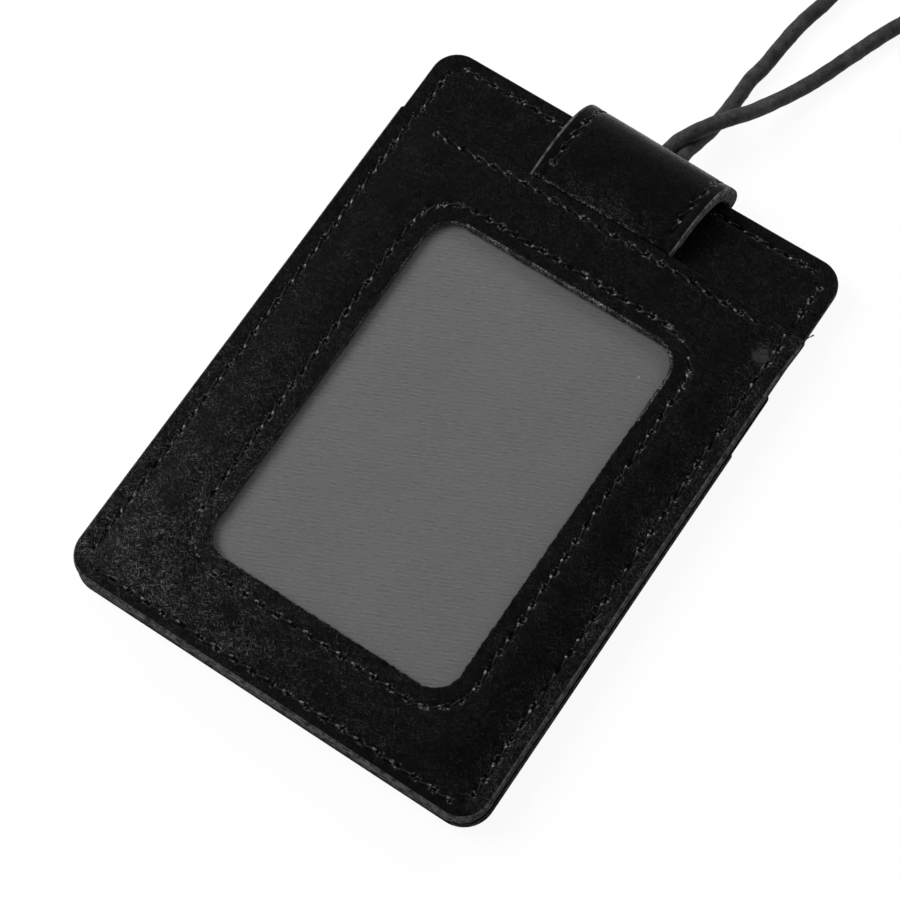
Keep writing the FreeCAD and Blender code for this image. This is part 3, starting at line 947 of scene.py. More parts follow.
@dataclass(frozen=True)
class EdgeCut:
    """Cut edge: the radii of its lower and upper corner, and the width of its paint on the upper face."""

    low_round: float
    high_round: float
    wrap: float = 0.0

    def profile(self, low: Height, high: Height) -> list[tuple[float, Height]]:
        """Section from the sheet's lower face to its upper face.

        Args:
            low: Height of the lower face.
            high: Height of the upper face.

        Returns:
            Distance inwards from the cut and height of each ring.
        """
        rings: list[tuple[float, Height]] = []
        for inset, lift in QUARTER:
            rings.append((self.low_round * inset, lambda x, y, lift=self.low_round * lift: low(x, y) + lift))
        for drop, inset in QUARTER:
            rings.append((self.high_round * inset, lambda x, y, drop=self.high_round * drop: high(x, y) - drop))
        rings.append((self.high_round + self.wrap, high))
        return rings

    def stations(self, outline: Outline, low: Height, high: Height) -> list[Station]:
        """Painted rings round the outer edge of a sheet.

        Args:
            outline: Outline of the cut.
            low: Height of the lower face.
            high: Height of the upper face.

        Returns:
            Rings from the lower face to the upper face.
        """
        return [Station(outline.grown(-inset), height, True) for inset, height in self.profile(low, high)]


def ring_places(across: int, along: int, low_corner: int, high_corner: int) -> list[float]:
    """Places of a ring's columns.

    Args:
        across: Columns on each side that runs across.
        along: Columns on each side that runs along.
        low_corner: Columns in each low corner.
        high_corner: Columns in each high corner.

    Returns:
        Places on an Outline, in order.
    """
    counts = (across, low_corner, along, high_corner, across, high_corner, along, low_corner)
    return [side + step / count for side, count in enumerate(counts) for step in range(count)]


def new_grid(columns: int, rows: int, mapped: bool = False) -> bmesh.types.BMesh:
    """Flat grid from -1 to 1 both ways, with a UV map where one is asked for.

    Args:
        columns: Cells along X.
        rows: Cells along Y.
        mapped: Whether it has a UV map.

    Returns:
        The mesh.
    """
    mesh = bmesh.new()
    if mapped:
        mesh.loops.layers.uv.new("UVMap")
    bmesh.ops.create_grid(mesh, x_segments=columns, y_segments=rows, size=1.0, calc_uvs=mapped)
    return mesh


def line_at(place: float, count: int) -> int:
    """Number of the grid line at a place from -1 to 1."""
    return round((place + 1.0) / 2.0 * count)


def cell_at(place: float, count: int) -> int:
    """Number of the grid cell at a place from -1 to 1."""
    return int((place + 1.0) / 2.0 * count)


def close_mesh(mesh: bmesh.types.BMesh, merge: float = MERGE) -> list[bmesh.types.BMFace]:
    """Join the seams of a wrapped grid, fill its open ends and turn its faces outwards.

    Args:
        mesh: The wrapped grid.
        merge: Distance under which points are joined.

    Returns:
        Faces that fill its ends.
    """
    bmesh.ops.remove_doubles(mesh, verts=mesh.verts, dist=merge)
    ends = bmesh.ops.holes_fill(mesh, edges=[edge for edge in mesh.edges if edge.is_boundary], sides=0)
    bmesh.ops.recalc_face_normals(mesh, faces=mesh.faces)
    return ends["faces"]


def wrapped_rings(stations: Sequence[Station], places: Sequence[float], closed: bool) -> bmesh.types.BMesh:
    """Grid wrapped round a sheet's section, ring by ring.

    Args:
        stations: Rings in the order in which the section meets them.
        places: Columns of each ring.
        closed: Whether the last ring joins the first, as round a window. Otherwise both are filled.

    Returns:
        Closed mesh, with the painted faces in material 1.
    """
    columns = len(places)
    rows = len(stations) if closed else len(stations) - 1
    mesh = new_grid(columns, rows)
    for face in mesh.faces:
        row = cell_at(face.calc_center_median().y, rows)
        face.material_index = int(stations[row].painted and stations[(row + 1) % len(stations)].painted)
    for vert in mesh.verts:
        station = stations[line_at(vert.co.y, rows) % len(stations)]
        x, y = station.outline.point(places[line_at(vert.co.x, columns) % columns])
        vert.co = (x, y, station.height(x, y))
    close_mesh(mesh)
    return mesh


def sheet_mesh(outline: Outline, low: Height, high: Height, cut: EdgeCut, depths: Sequence[float],
               places: Sequence[float]) -> bmesh.types.BMesh:
    """Whole sheet with its cut edge.

    Args:
        outline: Outline of the cut.
        low: Height of the lower face.
        high: Height of the upper face.
        cut: Shape of the edge.
        depths: Distances inwards of the rings on both faces.
        places: Columns of each ring.

    Returns:
        Closed mesh, with the painted faces in material 1.
    """
    rings = [Station(outline.grown(-depth), low) for depth in reversed(depths)]
    rings += cut.stations(outline, low, high)
    rings += [Station(outline.grown(-depth), high) for depth in depths]
    return wrapped_rings(rings, places, False)


def mark_holes(mesh: bmesh.types.BMesh, share: Height) -> None:
    """Store how deep in a needle hole each vertex lies, for the painted shade in the holes and the painted highlights
    on their lips.

    Args:
        mesh: Mesh of the leather.
        share: Depth from 0 to 1 at an X and a Y.
    """
    layer = mesh.verts.layers.float.new("hole")
    for vert in mesh.verts:
        vert[layer] = share(vert.co.x, vert.co.y)


def settle(point: Vector) -> Vector:
    """Where a point of the wallet lies on the real one, whose right side runs out a little towards the strap."""
    skew = SKEW if point.y > 0.0 else SKEW / 2
    return point + Vector((skew * point.y * smooth(point.x / HALF_WIDTH), 0.0, 0.0))


def link_mesh(mesh: bmesh.types.BMesh, name: str, finishes: Sequence[bpy.types.Material]) -> bpy.types.Object:
    """Put a mesh in metres into the scene.

    Args:
        mesh: The finished mesh, which is freed.
        name: Name of the object and its data.
        finishes: Materials by index.

    Returns:
        The object.
    """
    data = bpy.data.meshes.new(name)
    mesh.to_mesh(data)
    mesh.free()
    for finish in finishes:
        data.materials.append(finish)
    linked = bpy.data.objects.new(name, data)
    bpy.context.scene.collection.objects.link(linked)
    return linked


def make_piece(mesh: bmesh.types.BMesh, name: str, finishes: Sequence[bpy.types.Material], body: Body, slot: Slot,
               nodes: Sequence[str]) -> bpy.types.Object:
    """Turn a mesh in millimetres into a piece that stands for CAD nodes.

    Args:
        mesh: The finished mesh, which is freed.
        name: Name of the piece.
        finishes: Materials by index.
        body: CAD body that it rides on.
        slot: Material slot of the record; not used.
        nodes: CAD nodes that it stands for.

    Returns:
        The piece's object.
    """
    if body is Body.WALLET:
        for vert in mesh.verts:
            vert.co = settle(vert.co)
    bmesh.ops.scale(mesh, vec=(MM, MM, MM), verts=mesh.verts)
    for face in mesh.faces:
        face.smooth = True
    piece = link_mesh(mesh, name, finishes)
    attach(piece, body.value)
    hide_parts(*nodes)
    log.info("%s: %d faces, stands for %s", name, len(piece.data.polygons), ", ".join(nodes))
    return piece


def nurbs_line(points: Sequence[Vector], resolution: int) -> list[Vector]:
    """Points of a smooth line, read from an open NURBS spline.

    Args:
        points: Control points in millimetres.
        resolution: Steps per control point.

    Returns:
        Points in millimetres, in order.
    """
    curve = bpy.data.curves.new("route", "CURVE")
    curve.dimensions = "3D"
    curve.resolution_u = resolution
    spline = curve.splines.new("NURBS")
    spline.points.add(len(points) - 1)
    for target, point in zip(spline.points, points):
        target.co = (*(point * MM), 1.0)
    spline.order_u = 3
    spline.use_endpoint_u = True
    spline.resolution_u = resolution
    holder = bpy.data.objects.new("route", curve)
    line = bpy.data.meshes.new_from_object(holder)
    found = [vert.co / MM for vert in line.vertices]
    bpy.data.objects.remove(holder)
    bpy.data.curves.remove(curve)
    bpy.data.meshes.remove(line)
    return found


def even_steps(points: Sequence[Vector], step: float) -> list[Vector]:
    """Points at even distances along a line.

    Args:
        points: The line.
        step: The distance.

    Returns:
        Points, with both ends of the line.
    """
    found = [points[0].copy()]
    carried = 0.0
    for start, end in zip(points[:-1], points[1:]):
        length = (end - start).length
        while carried + length >= step:
            share = (step - carried) / length
            start = start.lerp(end, share)
            found.append(start.copy())
            length = (end - start).length
            carried = 0.0
        carried += length
    found.append(points[-1].copy())
    return found


def ways(line: Sequence[Vector]) -> list[Vector]:
    """Direction of a line at each of its points."""
    last = len(line) - 1
    return [(line[min(index + 1, last)] - line[max(index - 1, 0)]).normalized() for index in range(len(line))]


# Seams

@dataclass(frozen=True)
class Bar:
    """One CAD stitch: its middle, its direction and its length."""

    middle: Vector
    along: Vector
    length: float


def islands(mesh: bmesh.types.BMesh) -> Iterator[list[bmesh.types.BMVert]]:
    """Vertices of each connected part of a mesh, in the mesh's own order.

    Args:
        mesh: The mesh.

    Yields:
        Vertices of one part.
    """
    taken: set[bmesh.types.BMVert] = set()
    for start in mesh.verts:
        if start in taken:
            continue
        taken.add(start)
        island = [start]
        for vert in island:
            for edge in vert.link_edges:
                other = edge.other_vert(vert)
                if other not in taken:
                    taken.add(other)
                    island.append(other)
        yield island


def read_bars(node: str) -> list[Bar]:
    """Stitches of a CAD seam, read from the islands of its mesh.

    Args:
        node: Name of the seam's node.

    Returns:
        One bar for each stitch.
    """
    joined, sharp = 0.01, 1.0
    mesh = bmesh.new()
    mesh.from_mesh(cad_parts[node].data)
    bmesh.ops.scale(mesh, vec=(1.0 / MM,) * 3, verts=mesh.verts)
    bmesh.ops.remove_doubles(mesh, verts=mesh.verts, dist=joined)
    bars = []
    for island in islands(mesh):
        middle = sum((vert.co for vert in island), Vector()) / len(island)
        edges = dict.fromkeys(edge for vert in island for edge in vert.link_edges)
        straight = [edge for edge in edges if len(edge.link_faces) == 2 and edge.calc_face_angle(0.0) > sharp]
        longest = max(straight, key=lambda edge: edge.calc_length())
        along = (longest.verts[1].co - longest.verts[0].co).normalized()
        bars.append(Bar(middle, along, longest.calc_length()))
    mesh.free()
    return bars


@dataclass
class Seam:
    """Row of slanted stitches that dip into the leather at both ends."""

    name: str
    node: str
    slant: float
    seed: int
    crown: float = 0.06
    thread: float = 0.20
    dip: float = 0.60
    taper: float = 0.25
    swell: float = 0.25
    swell_at: float = 0.6
    swell_width: float = 0.17
    length_shares: Span = (0.94, 1.05)
    thread_shares: Span = (0.9, 1.08)
    slant_spread: float = 0.07
    aside_spread: float = 0.06
    sides: int = 6
    rings: int = 7
    mesh: bmesh.types.BMesh = field(default_factory=bmesh.new)

    def __post_init__(self) -> None:
        """Give the row its UV map and its own random numbers."""
        self.mesh.loops.layers.uv.new("UVMap")
        self.chance = random.Random(self.seed)

    def sew(self, place: Place, length: float) -> None:
        """Add one stitch.

        Args:
            place: Point at a distance along the stitch, beside it and above the leather.
            length: Distance between its holes.
        """
        half = length / 2 * REACH_SHARE * self.chance.uniform(*self.length_shares)
        slant = self.slant + self.chance.uniform(-self.slant_spread, self.slant_spread)
        aside = self.chance.uniform(-self.aside_spread, self.aside_spread)
        thread = self.thread * self.chance.uniform(*self.thread_shares)
        grid = bmesh.ops.create_grid(self.mesh, x_segments=self.sides, y_segments=self.rings - 1, size=1.0,
                                     calc_uvs=True)
        for vert in grid["verts"]:
            angle = math.pi * vert.co.x
            share = vert.co.y
            end = share ** 4
            radius = thread * (1.0 - self.taper * end + self.swell * bump(share - self.swell_at, self.swell_width))
            beside = aside + slant * share * half + radius * math.cos(angle)
            vert.co = place(share * half, beside, self.crown - self.dip * end + radius * math.sin(angle))

    def finish(self, material: bpy.types.Material) -> None:
        """Close the stitches and make the row a piece."""
        close_mesh(self.mesh)
        make_piece(self.mesh, self.name, [material], Body.WALLET, Slot.THREAD, [self.node])


def on_sheet(bar: Bar, surface: Height, facing: Facing) -> Place:
    """Places about a stitch on a sheet.

    Args:
        bar: The CAD stitch.
        surface: Height of the sheet's face.
        facing: Side that the face looks to.

    Returns:
        Function from along, beside and above to a point.
    """
    along = Vector((bar.along.x, bar.along.y, 0.0)).normalized()
    beside = Vector((-along.y, along.x, 0.0))

    def place(forward: float, aside: float, lift: float) -> Vector:
        """Point about the stitch.

        Args:
            forward: Along the stitch.
            aside: Across it.
            lift: Off the surface.

        Returns:
            Point in the frame.
        """
        point = bar.middle + along * forward
        z = surface(point.x, point.y) + facing.value * lift
        point = point + beside * aside
        return Vector((point.x, point.y, z))

    return place


class Holes:
    """Needle holes of some seams, for the dimples that they pull in the leather."""

    def __init__(self, bars: Sequence[Bar]) -> None:
        """Take both ends of every stitch.

        Args:
            bars: CAD stitches.
        """
        self.tree = kdtree.KDTree(2 * len(bars))
        for index, bar in enumerate(bars):
            for side in (-0.5, 0.5):
                end = bar.middle + bar.along * (bar.length * side * REACH_SHARE)
                self.tree.insert((end.x, end.y, 0.0), index)
        self.tree.balance()

    def share(self, x: float, y: float, width: float = 0.38) -> float:
        """How deep in a hole a point lies, from 0 to 1."""
        _, _, distance = self.tree.find((x, y, 0.0))
        return bump(distance, width) if distance < 2.0 * width else 0.0

    def dimple(self, x: float, y: float, depth: float = 0.34) -> float:
        """Depth of the dimple at a point."""
        return depth * self.share(x, y)


# Sub-assemblies

@dataclass
class Finishes:
    """Every material of the wallet."""

    leather: bpy.types.Material
    smooth_leather: bpy.types.Material
    strap_leather: bpy.types.Material
    raw: bpy.types.Material
    edge: bpy.types.Material
    # Darker copy of the edge paint: painted shade between the stack's layers, darker still on faces towards -Y
    painted_shade_edge: bpy.types.Material
    strap_edge: bpy.types.Material
    thread: bpy.types.Material
    twill: bpy.types.Material
    film: bpy.types.Material
    cord: bpy.types.Material
    board: bpy.types.Material
    tie: bpy.types.Material


@dataclass(frozen=True)
class BorderRow:
    """Line of the border's stitches: its distance from the side and from the bottom, and its corner radii."""

    side: float = 2.8
    bottom: float = 2.3
    low_radius: float = 2.3
    high_radius: float = 1.8

    def line(self, node: str, below_top: float) -> Outline:
        """Line on a sheet's node, at a distance below its top."""
        low, high = node_box(node)
        return Outline(high.x - self.side, low.y + self.bottom, high.y - below_top, self.low_radius, self.high_radius)


@dataclass
class WindowPocket:
    """Front leather with its window, film and lining."""

    finishes: Finishes
    # Leather and its slope
    leather: float = 1.1
    margin: float = 5.4
    rise: float = 1.2
    slope: Span = (2.2, 9.6)
    sways: tuple[Sway, ...] = (Sway(0.10, 17.0, 3.1), Sway(0.035, 4.5, 8.4))
    corner_radius: float = 5.0
    mouth_radius: float = 0.5
    window_radius: float = 4.5
    cut_edge: EdgeCut = EdgeCut(0.06, 0.24)
    window_edge: EdgeCut = EdgeCut(0.10, 0.24)
    # Swell over the strap's tail
    bow: float = 0.9
    bow_across: Span = (24.0, 13.0)
    bow_down: Span = (14.0, 0.0)
    strap_middle: float = 0.3
    # Stitch rows
    row_past_mouth: float = 80.0
    window_row: float = 3.0
    mouth_row: float = 1.8
    mouth_row_ends: Span = (31.5, 29.5)
    groove: float = 0.18
    groove_width: float = 0.55
    thread_end: Point = (37.6, 38.9, 4.1)
    thread_end_length: float = 1.8
    thread_end_lean: float = 0.5
    # Rings of the leather's mesh
    columns: tuple[int, int, int, int] = (190, 246, 20, 8)
    back_insets: tuple[float, ...] = (6.4, 4.8, 3.3, 1.6)
    face_insets: tuple[float, ...] = (*(0.45 + 0.25 * step for step in range(12)), 3.5,
                                      *(3.9 + 0.5 * step for step in range(6)), 7.0)
    field_steps: int = 12
    rim_outsets: tuple[float, ...] = (4.6, 4.2, 3.85, 3.6, 3.4, 3.2, 3.0, 2.8, 2.6, 2.4, 2.1, 1.7, 1.3, 1.0, 0.75, 0.5)
    rim_back: float = 2.0
    # Paint and wear of the edges, and where the rim shows the raw finish's painted light
    wrap: float = 0.45
    paint_right_of: float = 20.0
    paint_low: float = 1.0
    bare_mouth: float = 1.0
    wide_rim: float = 0.42
    wide_rim_right_of: float = -17.0
    wide_rim_above: float = 12.0
    narrow_rim: float = 0.12
    rim_inside: float = 0.2
    fray: float = 0.16
    fray_width: float = 0.45
    fray_scale: float = 1.6
    fray_least: float = 0.02
    fray_seed: int = 5
    flare: float = 0.35
    flare_across: Span = (28.0, 37.5)
    flare_along: Span = (29.0, 38.0)
    # Film
    film_overlap: float = 5.5
    film_play: float = 0.02
    film_sway: Sway = Sway(0.06, 22.0, 5.5)
    film_held: Span = (0.0, 9.0)
    film_edge: EdgeCut = EdgeCut(0.05, 0.05, 0.1)
    film_depths: tuple[float, ...] = tuple(1.0 + 2.2 * step for step in range(12))
    film_columns: tuple[int, int, int, int] = (40, 60, 8, 8)
    # Lining
    lining_radii: Span = (4.0, 0.3)
    lining_lift: float = 0.6
    lining_slope: Span = (-5.0, 0.0)
    lining_play: float = 0.01
    lining_sway: Sway = Sway(0.03, 13.0, 1.7)
    lining_held: Span = (0.0, 6.0)
    lining_edge: EdgeCut = EdgeCut(0.05, 0.05, 0.1)
    lining_depths: tuple[float, ...] = tuple(1.0 + 2.0 * step for step in range(15))
    lining_columns: tuple[int, int, int, int] = (50, 70, 8, 4)

    def __post_init__(self) -> None:
        """Read the outlines and stitches from the frame."""
        low, high = node_box("front_panel")
        self.cut = Outline(high.x, low.y, high.y, self.corner_radius, self.mouth_radius)
        film_low, film_high = node_box("window_film")
        half = (film_high.x - film_low.x) / 2 - self.film_overlap
        self.window = Outline(half, film_low.y + self.film_overlap, film_high.y - self.film_overlap,
                              self.window_radius, self.window_radius, (film_low.x + film_high.x) / 2)
        self.mouth = high.y
        self.rows = {name: read_bars(name) for name in ("perimeter_seam_front", "window_seam", "mouth_seam")}
        self.holes = Holes([bar for row in self.rows.values() for bar in row if bar.middle.y < self.mouth])
        self.row_line = BorderRow().line("front_panel", -self.row_past_mouth)
        self.window_line = self.window.grown(self.window_row)

    def body(self, x: float, y: float) -> float:
        """Height of the leather's face, before its grooves and dimples.

        Args:
            x: Across the wallet.
            y: Along the wallet.

        Returns:
            Height.
        """
        lifted = ramp(self.cut.half - abs(x), self.slope) * ramp(y - self.cut.low, self.slope)
        swell = self.bow * ramp(abs(x - self.strap_middle), self.bow_across) * ramp(self.mouth - y, self.bow_down)
        return self.margin + self.rise * lifted + lifted * swell + sum(sway.at(x, y) for sway in self.sways)

    def face(self, x: float, y: float) -> float:
        """Height of the leather's face with its stitch grooves.

        Args:
            x: Across the wallet.
            y: Along the wallet.

        Returns:
            Height.
        """
        pull = bump(self.row_line.inset(x, y), self.groove_width)
        pull += bump(self.window_line.inset(x, y), self.groove_width)
        pull += bump(self.mouth - self.mouth_row - y, self.groove_width) * ramp(abs(x), self.mouth_row_ends)
        return self.body(x, y) - self.groove * min(pull, 1.0)

    def top(self, x: float, y: float) -> float:
        """Height of the leather's face with its grooves and needle dimples."""
        return self.face(x, y) - self.holes.dimple(x, y)

    def under(self, x: float, y: float) -> float:
        """Height of the leather's back."""
        return self.body(x, y) - self.leather

    def build_leather(self) -> None:
        """Make the front leather: its back, its cut edge, its face and the window's rim."""
        inner, outer = self.window.grown(self.rim_outsets[0]), self.cut.grown(-self.face_insets[-1])
        rings = [Station(inner, self.under), Station(inner.mixed(outer, 0.5), self.under)]
        rings += [Station(self.cut.grown(-inset), self.under) for inset in self.back_insets]
        rings += self.cut_edge.stations(self.cut, self.under, self.top)
        rings += [Station(self.cut.grown(-inset), self.top) for inset in self.face_insets]
        rings += [Station(outer.mixed(inner, step / self.field_steps), self.top) for step in range(1, self.field_steps)]
        rings += [Station(self.window.grown(outset), self.top) for outset in self.rim_outsets]
        rings += [Station(self.window.grown(outset), height)
                  for outset, height in reversed(self.window_edge.profile(self.under, self.top))]
        rings.append(Station(self.window.grown(self.rim_back), self.under))
        mesh = wrapped_rings(rings, ring_places(*self.columns), True)
        mark_holes(mesh, self.holes.share)
        self.finish_edges(mesh)
        make_piece(mesh, "window_leather", [self.finishes.leather, self.finishes.edge, self.finishes.raw],
                   Body.WALLET, Slot.LEATHER, ["front_panel"])

    def finish_edges(self, mesh: bmesh.types.BMesh) -> None:
        """Paint the right and bottom edges wider, give the window's rim the raw finish, wider at the top and right
        where its pale fibres are painted light, fray the window's rim and let the mouth's right corner stand out.

        Args:
            mesh: The front leather.
        """
        for face in mesh.faces:
            x, y, _ = face.calc_center_median()
            # The raw finish's pale fibres are partly painted light, so the rim takes it wider at the top and right,
            # where the light falls
            wide = x > self.wide_rim_right_of and y > self.wide_rim_above
            rim = self.wide_rim if wide else self.narrow_rim
            painted = x > self.paint_right_of or y < self.cut.low + self.paint_low
            if y > self.mouth - self.bare_mouth:
                face.material_index = Coat.FACE.value
            elif -rim < self.window.inset(x, y) < self.rim_inside:
                face.material_index = Coat.RAW.value
            elif painted and self.cut.inset(x, y) < self.wrap:
                face.material_index = Coat.EDGE.value
        noise.seed_set(self.fray_seed)
        for vert in mesh.verts:
            near = bump(self.window.inset(vert.co.x, vert.co.y), self.fray_width)
            if near > self.fray_least:
                vert.co += noise.noise_vector(vert.co * self.fray_scale) * (self.fray * near)
            vert.co.x += self.flare * ramp(vert.co.y, self.flare_along) * ramp(vert.co.x, self.flare_across)

    def build_film(self) -> None:
        """Make the clear film."""
        low, high = node_box("window_film")
        outline = self.window.grown(self.film_overlap)
        thickness = high.z - low.z - self.film_play

        def top(x: float, y: float) -> float:
            """Height of the film's face."""
            sway = self.film_sway.at(x, y) * ramp(outline.inset(x, y), self.film_held)
            return high.z - self.film_play + sway

        mesh = sheet_mesh(outline, lambda x, y: top(x, y) - thickness, top, self.film_edge, self.film_depths,
                          ring_places(*self.film_columns))
        make_piece(mesh, "clear_window", [self.finishes.film, self.finishes.film], Body.WALLET, Slot.FILM,
                   ["window_film"])

    def build_lining(self) -> None:
        """Make the twill lining."""
        low, high = node_box("pocket_lining")
        outline = Outline(high.x, low.y, high.y, *self.lining_radii)

        def top(x: float, y: float) -> float:
            """Height of the cloth's face."""
            lifted = self.lining_lift * ramp(self.window.inset(x, y), self.lining_slope)
            return high.z + lifted + self.lining_sway.at(x, y) * ramp(outline.inset(x, y), self.lining_held)

        mesh = sheet_mesh(outline, lambda x, y: low.z + self.lining_play, top, self.lining_edge, self.lining_depths,
                          ring_places(*self.lining_columns))
        piece = make_piece(mesh, "twill_lining", [self.finishes.twill, self.finishes.twill], Body.WALLET, Slot.LINING,
                           ["pocket_lining"])

    def build_seams(self, inner: Height) -> None:
        """Sew the window, the mouth and the perimeter, and leave one thread end at the mouth's right corner.

        Args:
            inner: Height of the inner panel's face, above the mouth.
        """
        border = Seam("border_stitches", "perimeter_seam_front", 0.22, 13)
        for seam in (Seam("window_stitches", "window_seam", 0.26, 11), Seam("mouth_stitches", "mouth_seam", -0.26, 12),
                     border):
            for bar in self.rows[seam.node]:
                surface = self.face if bar.middle.y < self.mouth else inner
                seam.sew(on_sheet(bar, surface, Facing.FRONT), bar.length)
            if seam is border:
                seam.sew(self.about_thread_end, self.thread_end_length)
            seam.finish(self.finishes.thread)

    def about_thread_end(self, forward: float, aside: float, lift: float) -> Vector:
        """Point about the loose thread end."""
        return Vector(self.thread_end) + Vector((forward * self.thread_end_lean, forward + aside, lift))


@dataclass(frozen=True)
class Sheet:
    """One sheet of the stack: its CAD node, its piece's name, its edge and how far that stands out."""

    node: str
    name: str
    cut: EdgeCut
    proud: float = 0.0
    square: bool = False
    # Whether the edge takes the darker edge paint, painted shade between the layers
    dark: bool = False


@dataclass
class SheetStack:
    """Inner leather, board, back leather and the two rear card slots."""

    finishes: Finishes
    low_radius: float = 5.0
    high_radius: float = 4.5
    square_radius: float = 0.5
    top_row: float = 2.2
    slot_row: float = 2.0
    slot_row_ends: Span = (34.0, 32.5)
    groove: float = 0.22
    groove_width: float = 0.5
    play: float = 0.02
    inner_play: float = 0.01
    inner_sway: Sway = Sway(0.05, 15.0, 21.0)
    rear_sway: Sway = Sway(0.03, 16.0, 40.0)
    rear_slant: float = 0.22
    depths: tuple[float, ...] = (*(0.7 + 0.3 * step for step in range(10)), 4.2, 5.2,
                                 *(6.5 + 2.6 * step for step in range(12)))
    columns: tuple[int, int, int] = (150, 190, 16)
    round_columns: int = 14
    square_columns: int = 6
    inner_sheet: Sheet = Sheet("inner_panel", "back_stack", EdgeCut(0.05, 0.16))
    rear_sheets: tuple[Sheet, ...] = (
        Sheet("back_panel", "back_leather", EdgeCut(0.06, 0.05), -0.20),
        Sheet("rear_slot_upper", "upper_slot_leather", EdgeCut(0.06, 0.06), 0.06, square=True, dark=True),
        Sheet("rear_slot_lower", "lower_slot_leather", EdgeCut(0.25, 0.20), 0.20, square=True))
    board_inset: float = 0.05
    board_edge: EdgeCut = EdgeCut(0.03, 0.03, 0.1)
    board_depths: tuple[float, ...] = (1.0, 3.0, *(6.0 + 5.0 * step for step in range(6)))
    board_columns: tuple[int, int, int, int] = (40, 60, 8, 8)

    def __post_init__(self) -> None:
        """Read the stitch rows from the frame."""
        self.inner_top = node_box("inner_panel")[1].z
        self.row_line = BorderRow().line("inner_panel", self.top_row)
        self.front_holes = Holes([bar for bar in read_bars("perimeter_seam_front") if bar.middle.z < self.inner_top])
        self.rear_bars = {name: read_bars(name) for name in ("perimeter_seam_rear", "rear_upper_mouth_seam",
                                                             "rear_lower_mouth_seam")}
        self.rear_holes = Holes([bar for row in self.rear_bars.values() for bar in row])

    def inner_face(self, x: float, y: float) -> float:
        """Height of the inner leather's face with its stitch groove."""
        pull = bump(self.row_line.inset(x, y), self.groove_width)
        return self.inner_top + self.inner_sway.at(x, y) - self.groove * pull

    def rear_face(self, sheet: Sheet) -> Height:
        """Height of the outer face of a rear sheet.

        Args:
            sheet: The sheet, which has a mouth where it is cut square.

        Returns:
            Function of X and Y.
        """
        low, high = node_box(sheet.node)
        sway = Sway(self.rear_sway.height, self.rear_sway.length, low.z + self.rear_sway.seed)

        def height(x: float, y: float) -> float:
            """Height with the stitch grooves.

            Args:
                x: Across the wallet.
                y: Along the wallet.

            Returns:
                Height.
            """
            pull = bump(self.row_line.inset(x, y), self.groove_width)
            if sheet.square:
                pull += bump(high.y - self.slot_row - y, self.groove_width) * ramp(abs(x), self.slot_row_ends)
            return low.z + (sway.height + sway.at(x, y)) + self.groove * min(pull, 1.0)

        return height

    def build_sheet(self, sheet: Sheet, low_face: Height, high_face: Height, holes: Holes) -> None:
        """Make one leather sheet.

        Args:
            sheet: Its node, its name and its cut.
            low_face: Height of its lower face.
            high_face: Height of its upper face.
            holes: Needle holes that go through it.
        """
        low, high = node_box(sheet.node)
        radius, corner = ((self.square_radius, self.square_columns) if sheet.square
                          else (self.high_radius, self.round_columns))
        outline = Outline(high.x + sheet.proud, low.y, high.y, self.low_radius, radius)
        mesh = sheet_mesh(outline, low_face, high_face, sheet.cut, self.depths, ring_places(*self.columns, corner))
        mark_holes(mesh, holes.share)
        # The darker edge paint is painted shade between the layers of the stack
        edge = self.finishes.painted_shade_edge if sheet.dark else self.finishes.edge
        make_piece(mesh, sheet.name, [self.finishes.smooth_leather, edge], Body.WALLET, Slot.LEATHER, [sheet.node])

    def build(self) -> None:
        """Make every sheet and sew the rear rows."""
        low, _ = node_box(self.inner_sheet.node)
        self.build_sheet(self.inner_sheet, lambda x, y: low.z + self.inner_play,
                         lambda x, y: self.inner_face(x, y) - self.front_holes.dimple(x, y), self.front_holes)
        self.build_board()
        faces: dict[str, Height] = {}
        for sheet in self.rear_sheets:
            face = self.rear_face(sheet)
            faces[sheet.node] = face
            top = node_box(sheet.node)[1].z - self.play
            self.build_sheet(sheet, lambda x, y, face=face: face(x, y) + self.rear_holes.dimple(x, y),
                             lambda x, y, top=top: top, self.rear_holes)
        self.sew_rear(faces)

    def build_board(self) -> None:
        """Make the stiffener, set back from the leather's edge."""
        low, high = node_box("stiffener_board")
        outline = Outline(high.x, low.y, high.y, self.low_radius, self.high_radius).grown(-self.board_inset)
        mesh = sheet_mesh(outline, lambda x, y: low.z, lambda x, y: high.z, self.board_edge, self.board_depths,
                          ring_places(*self.board_columns))
        # The board's edge takes the darker edge paint: painted shade between the layers
        make_piece(mesh, "stiffener", [self.finishes.board, self.finishes.painted_shade_edge], Body.WALLET, Slot.BOARD,
                   ["stiffener_board"])

    def sew_rear(self, faces: dict[str, Height]) -> None:
        """Sew the rows that show from behind.

        Args:
            faces: Outer face of each rear sheet by its node.
        """
        sheets = sorted((node_box(node)[1].y, node) for node in faces)
        for seam in (Seam("rear_border_stitches", "perimeter_seam_rear", self.rear_slant, 31, crown=0.0),
                     Seam("upper_slot_stitches", "rear_upper_mouth_seam", self.rear_slant, 32, crown=0.0),
                     Seam("lower_slot_stitches", "rear_lower_mouth_seam", self.rear_slant, 33, crown=0.0)):
            for bar in self.rear_bars[seam.node]:
                sheet = next(owner for reach, owner in sheets if bar.middle.y < reach)
                seam.sew(on_sheet(bar, faces[sheet], Facing.REAR), bar.length)
            seam.finish(self.finishes.thread)


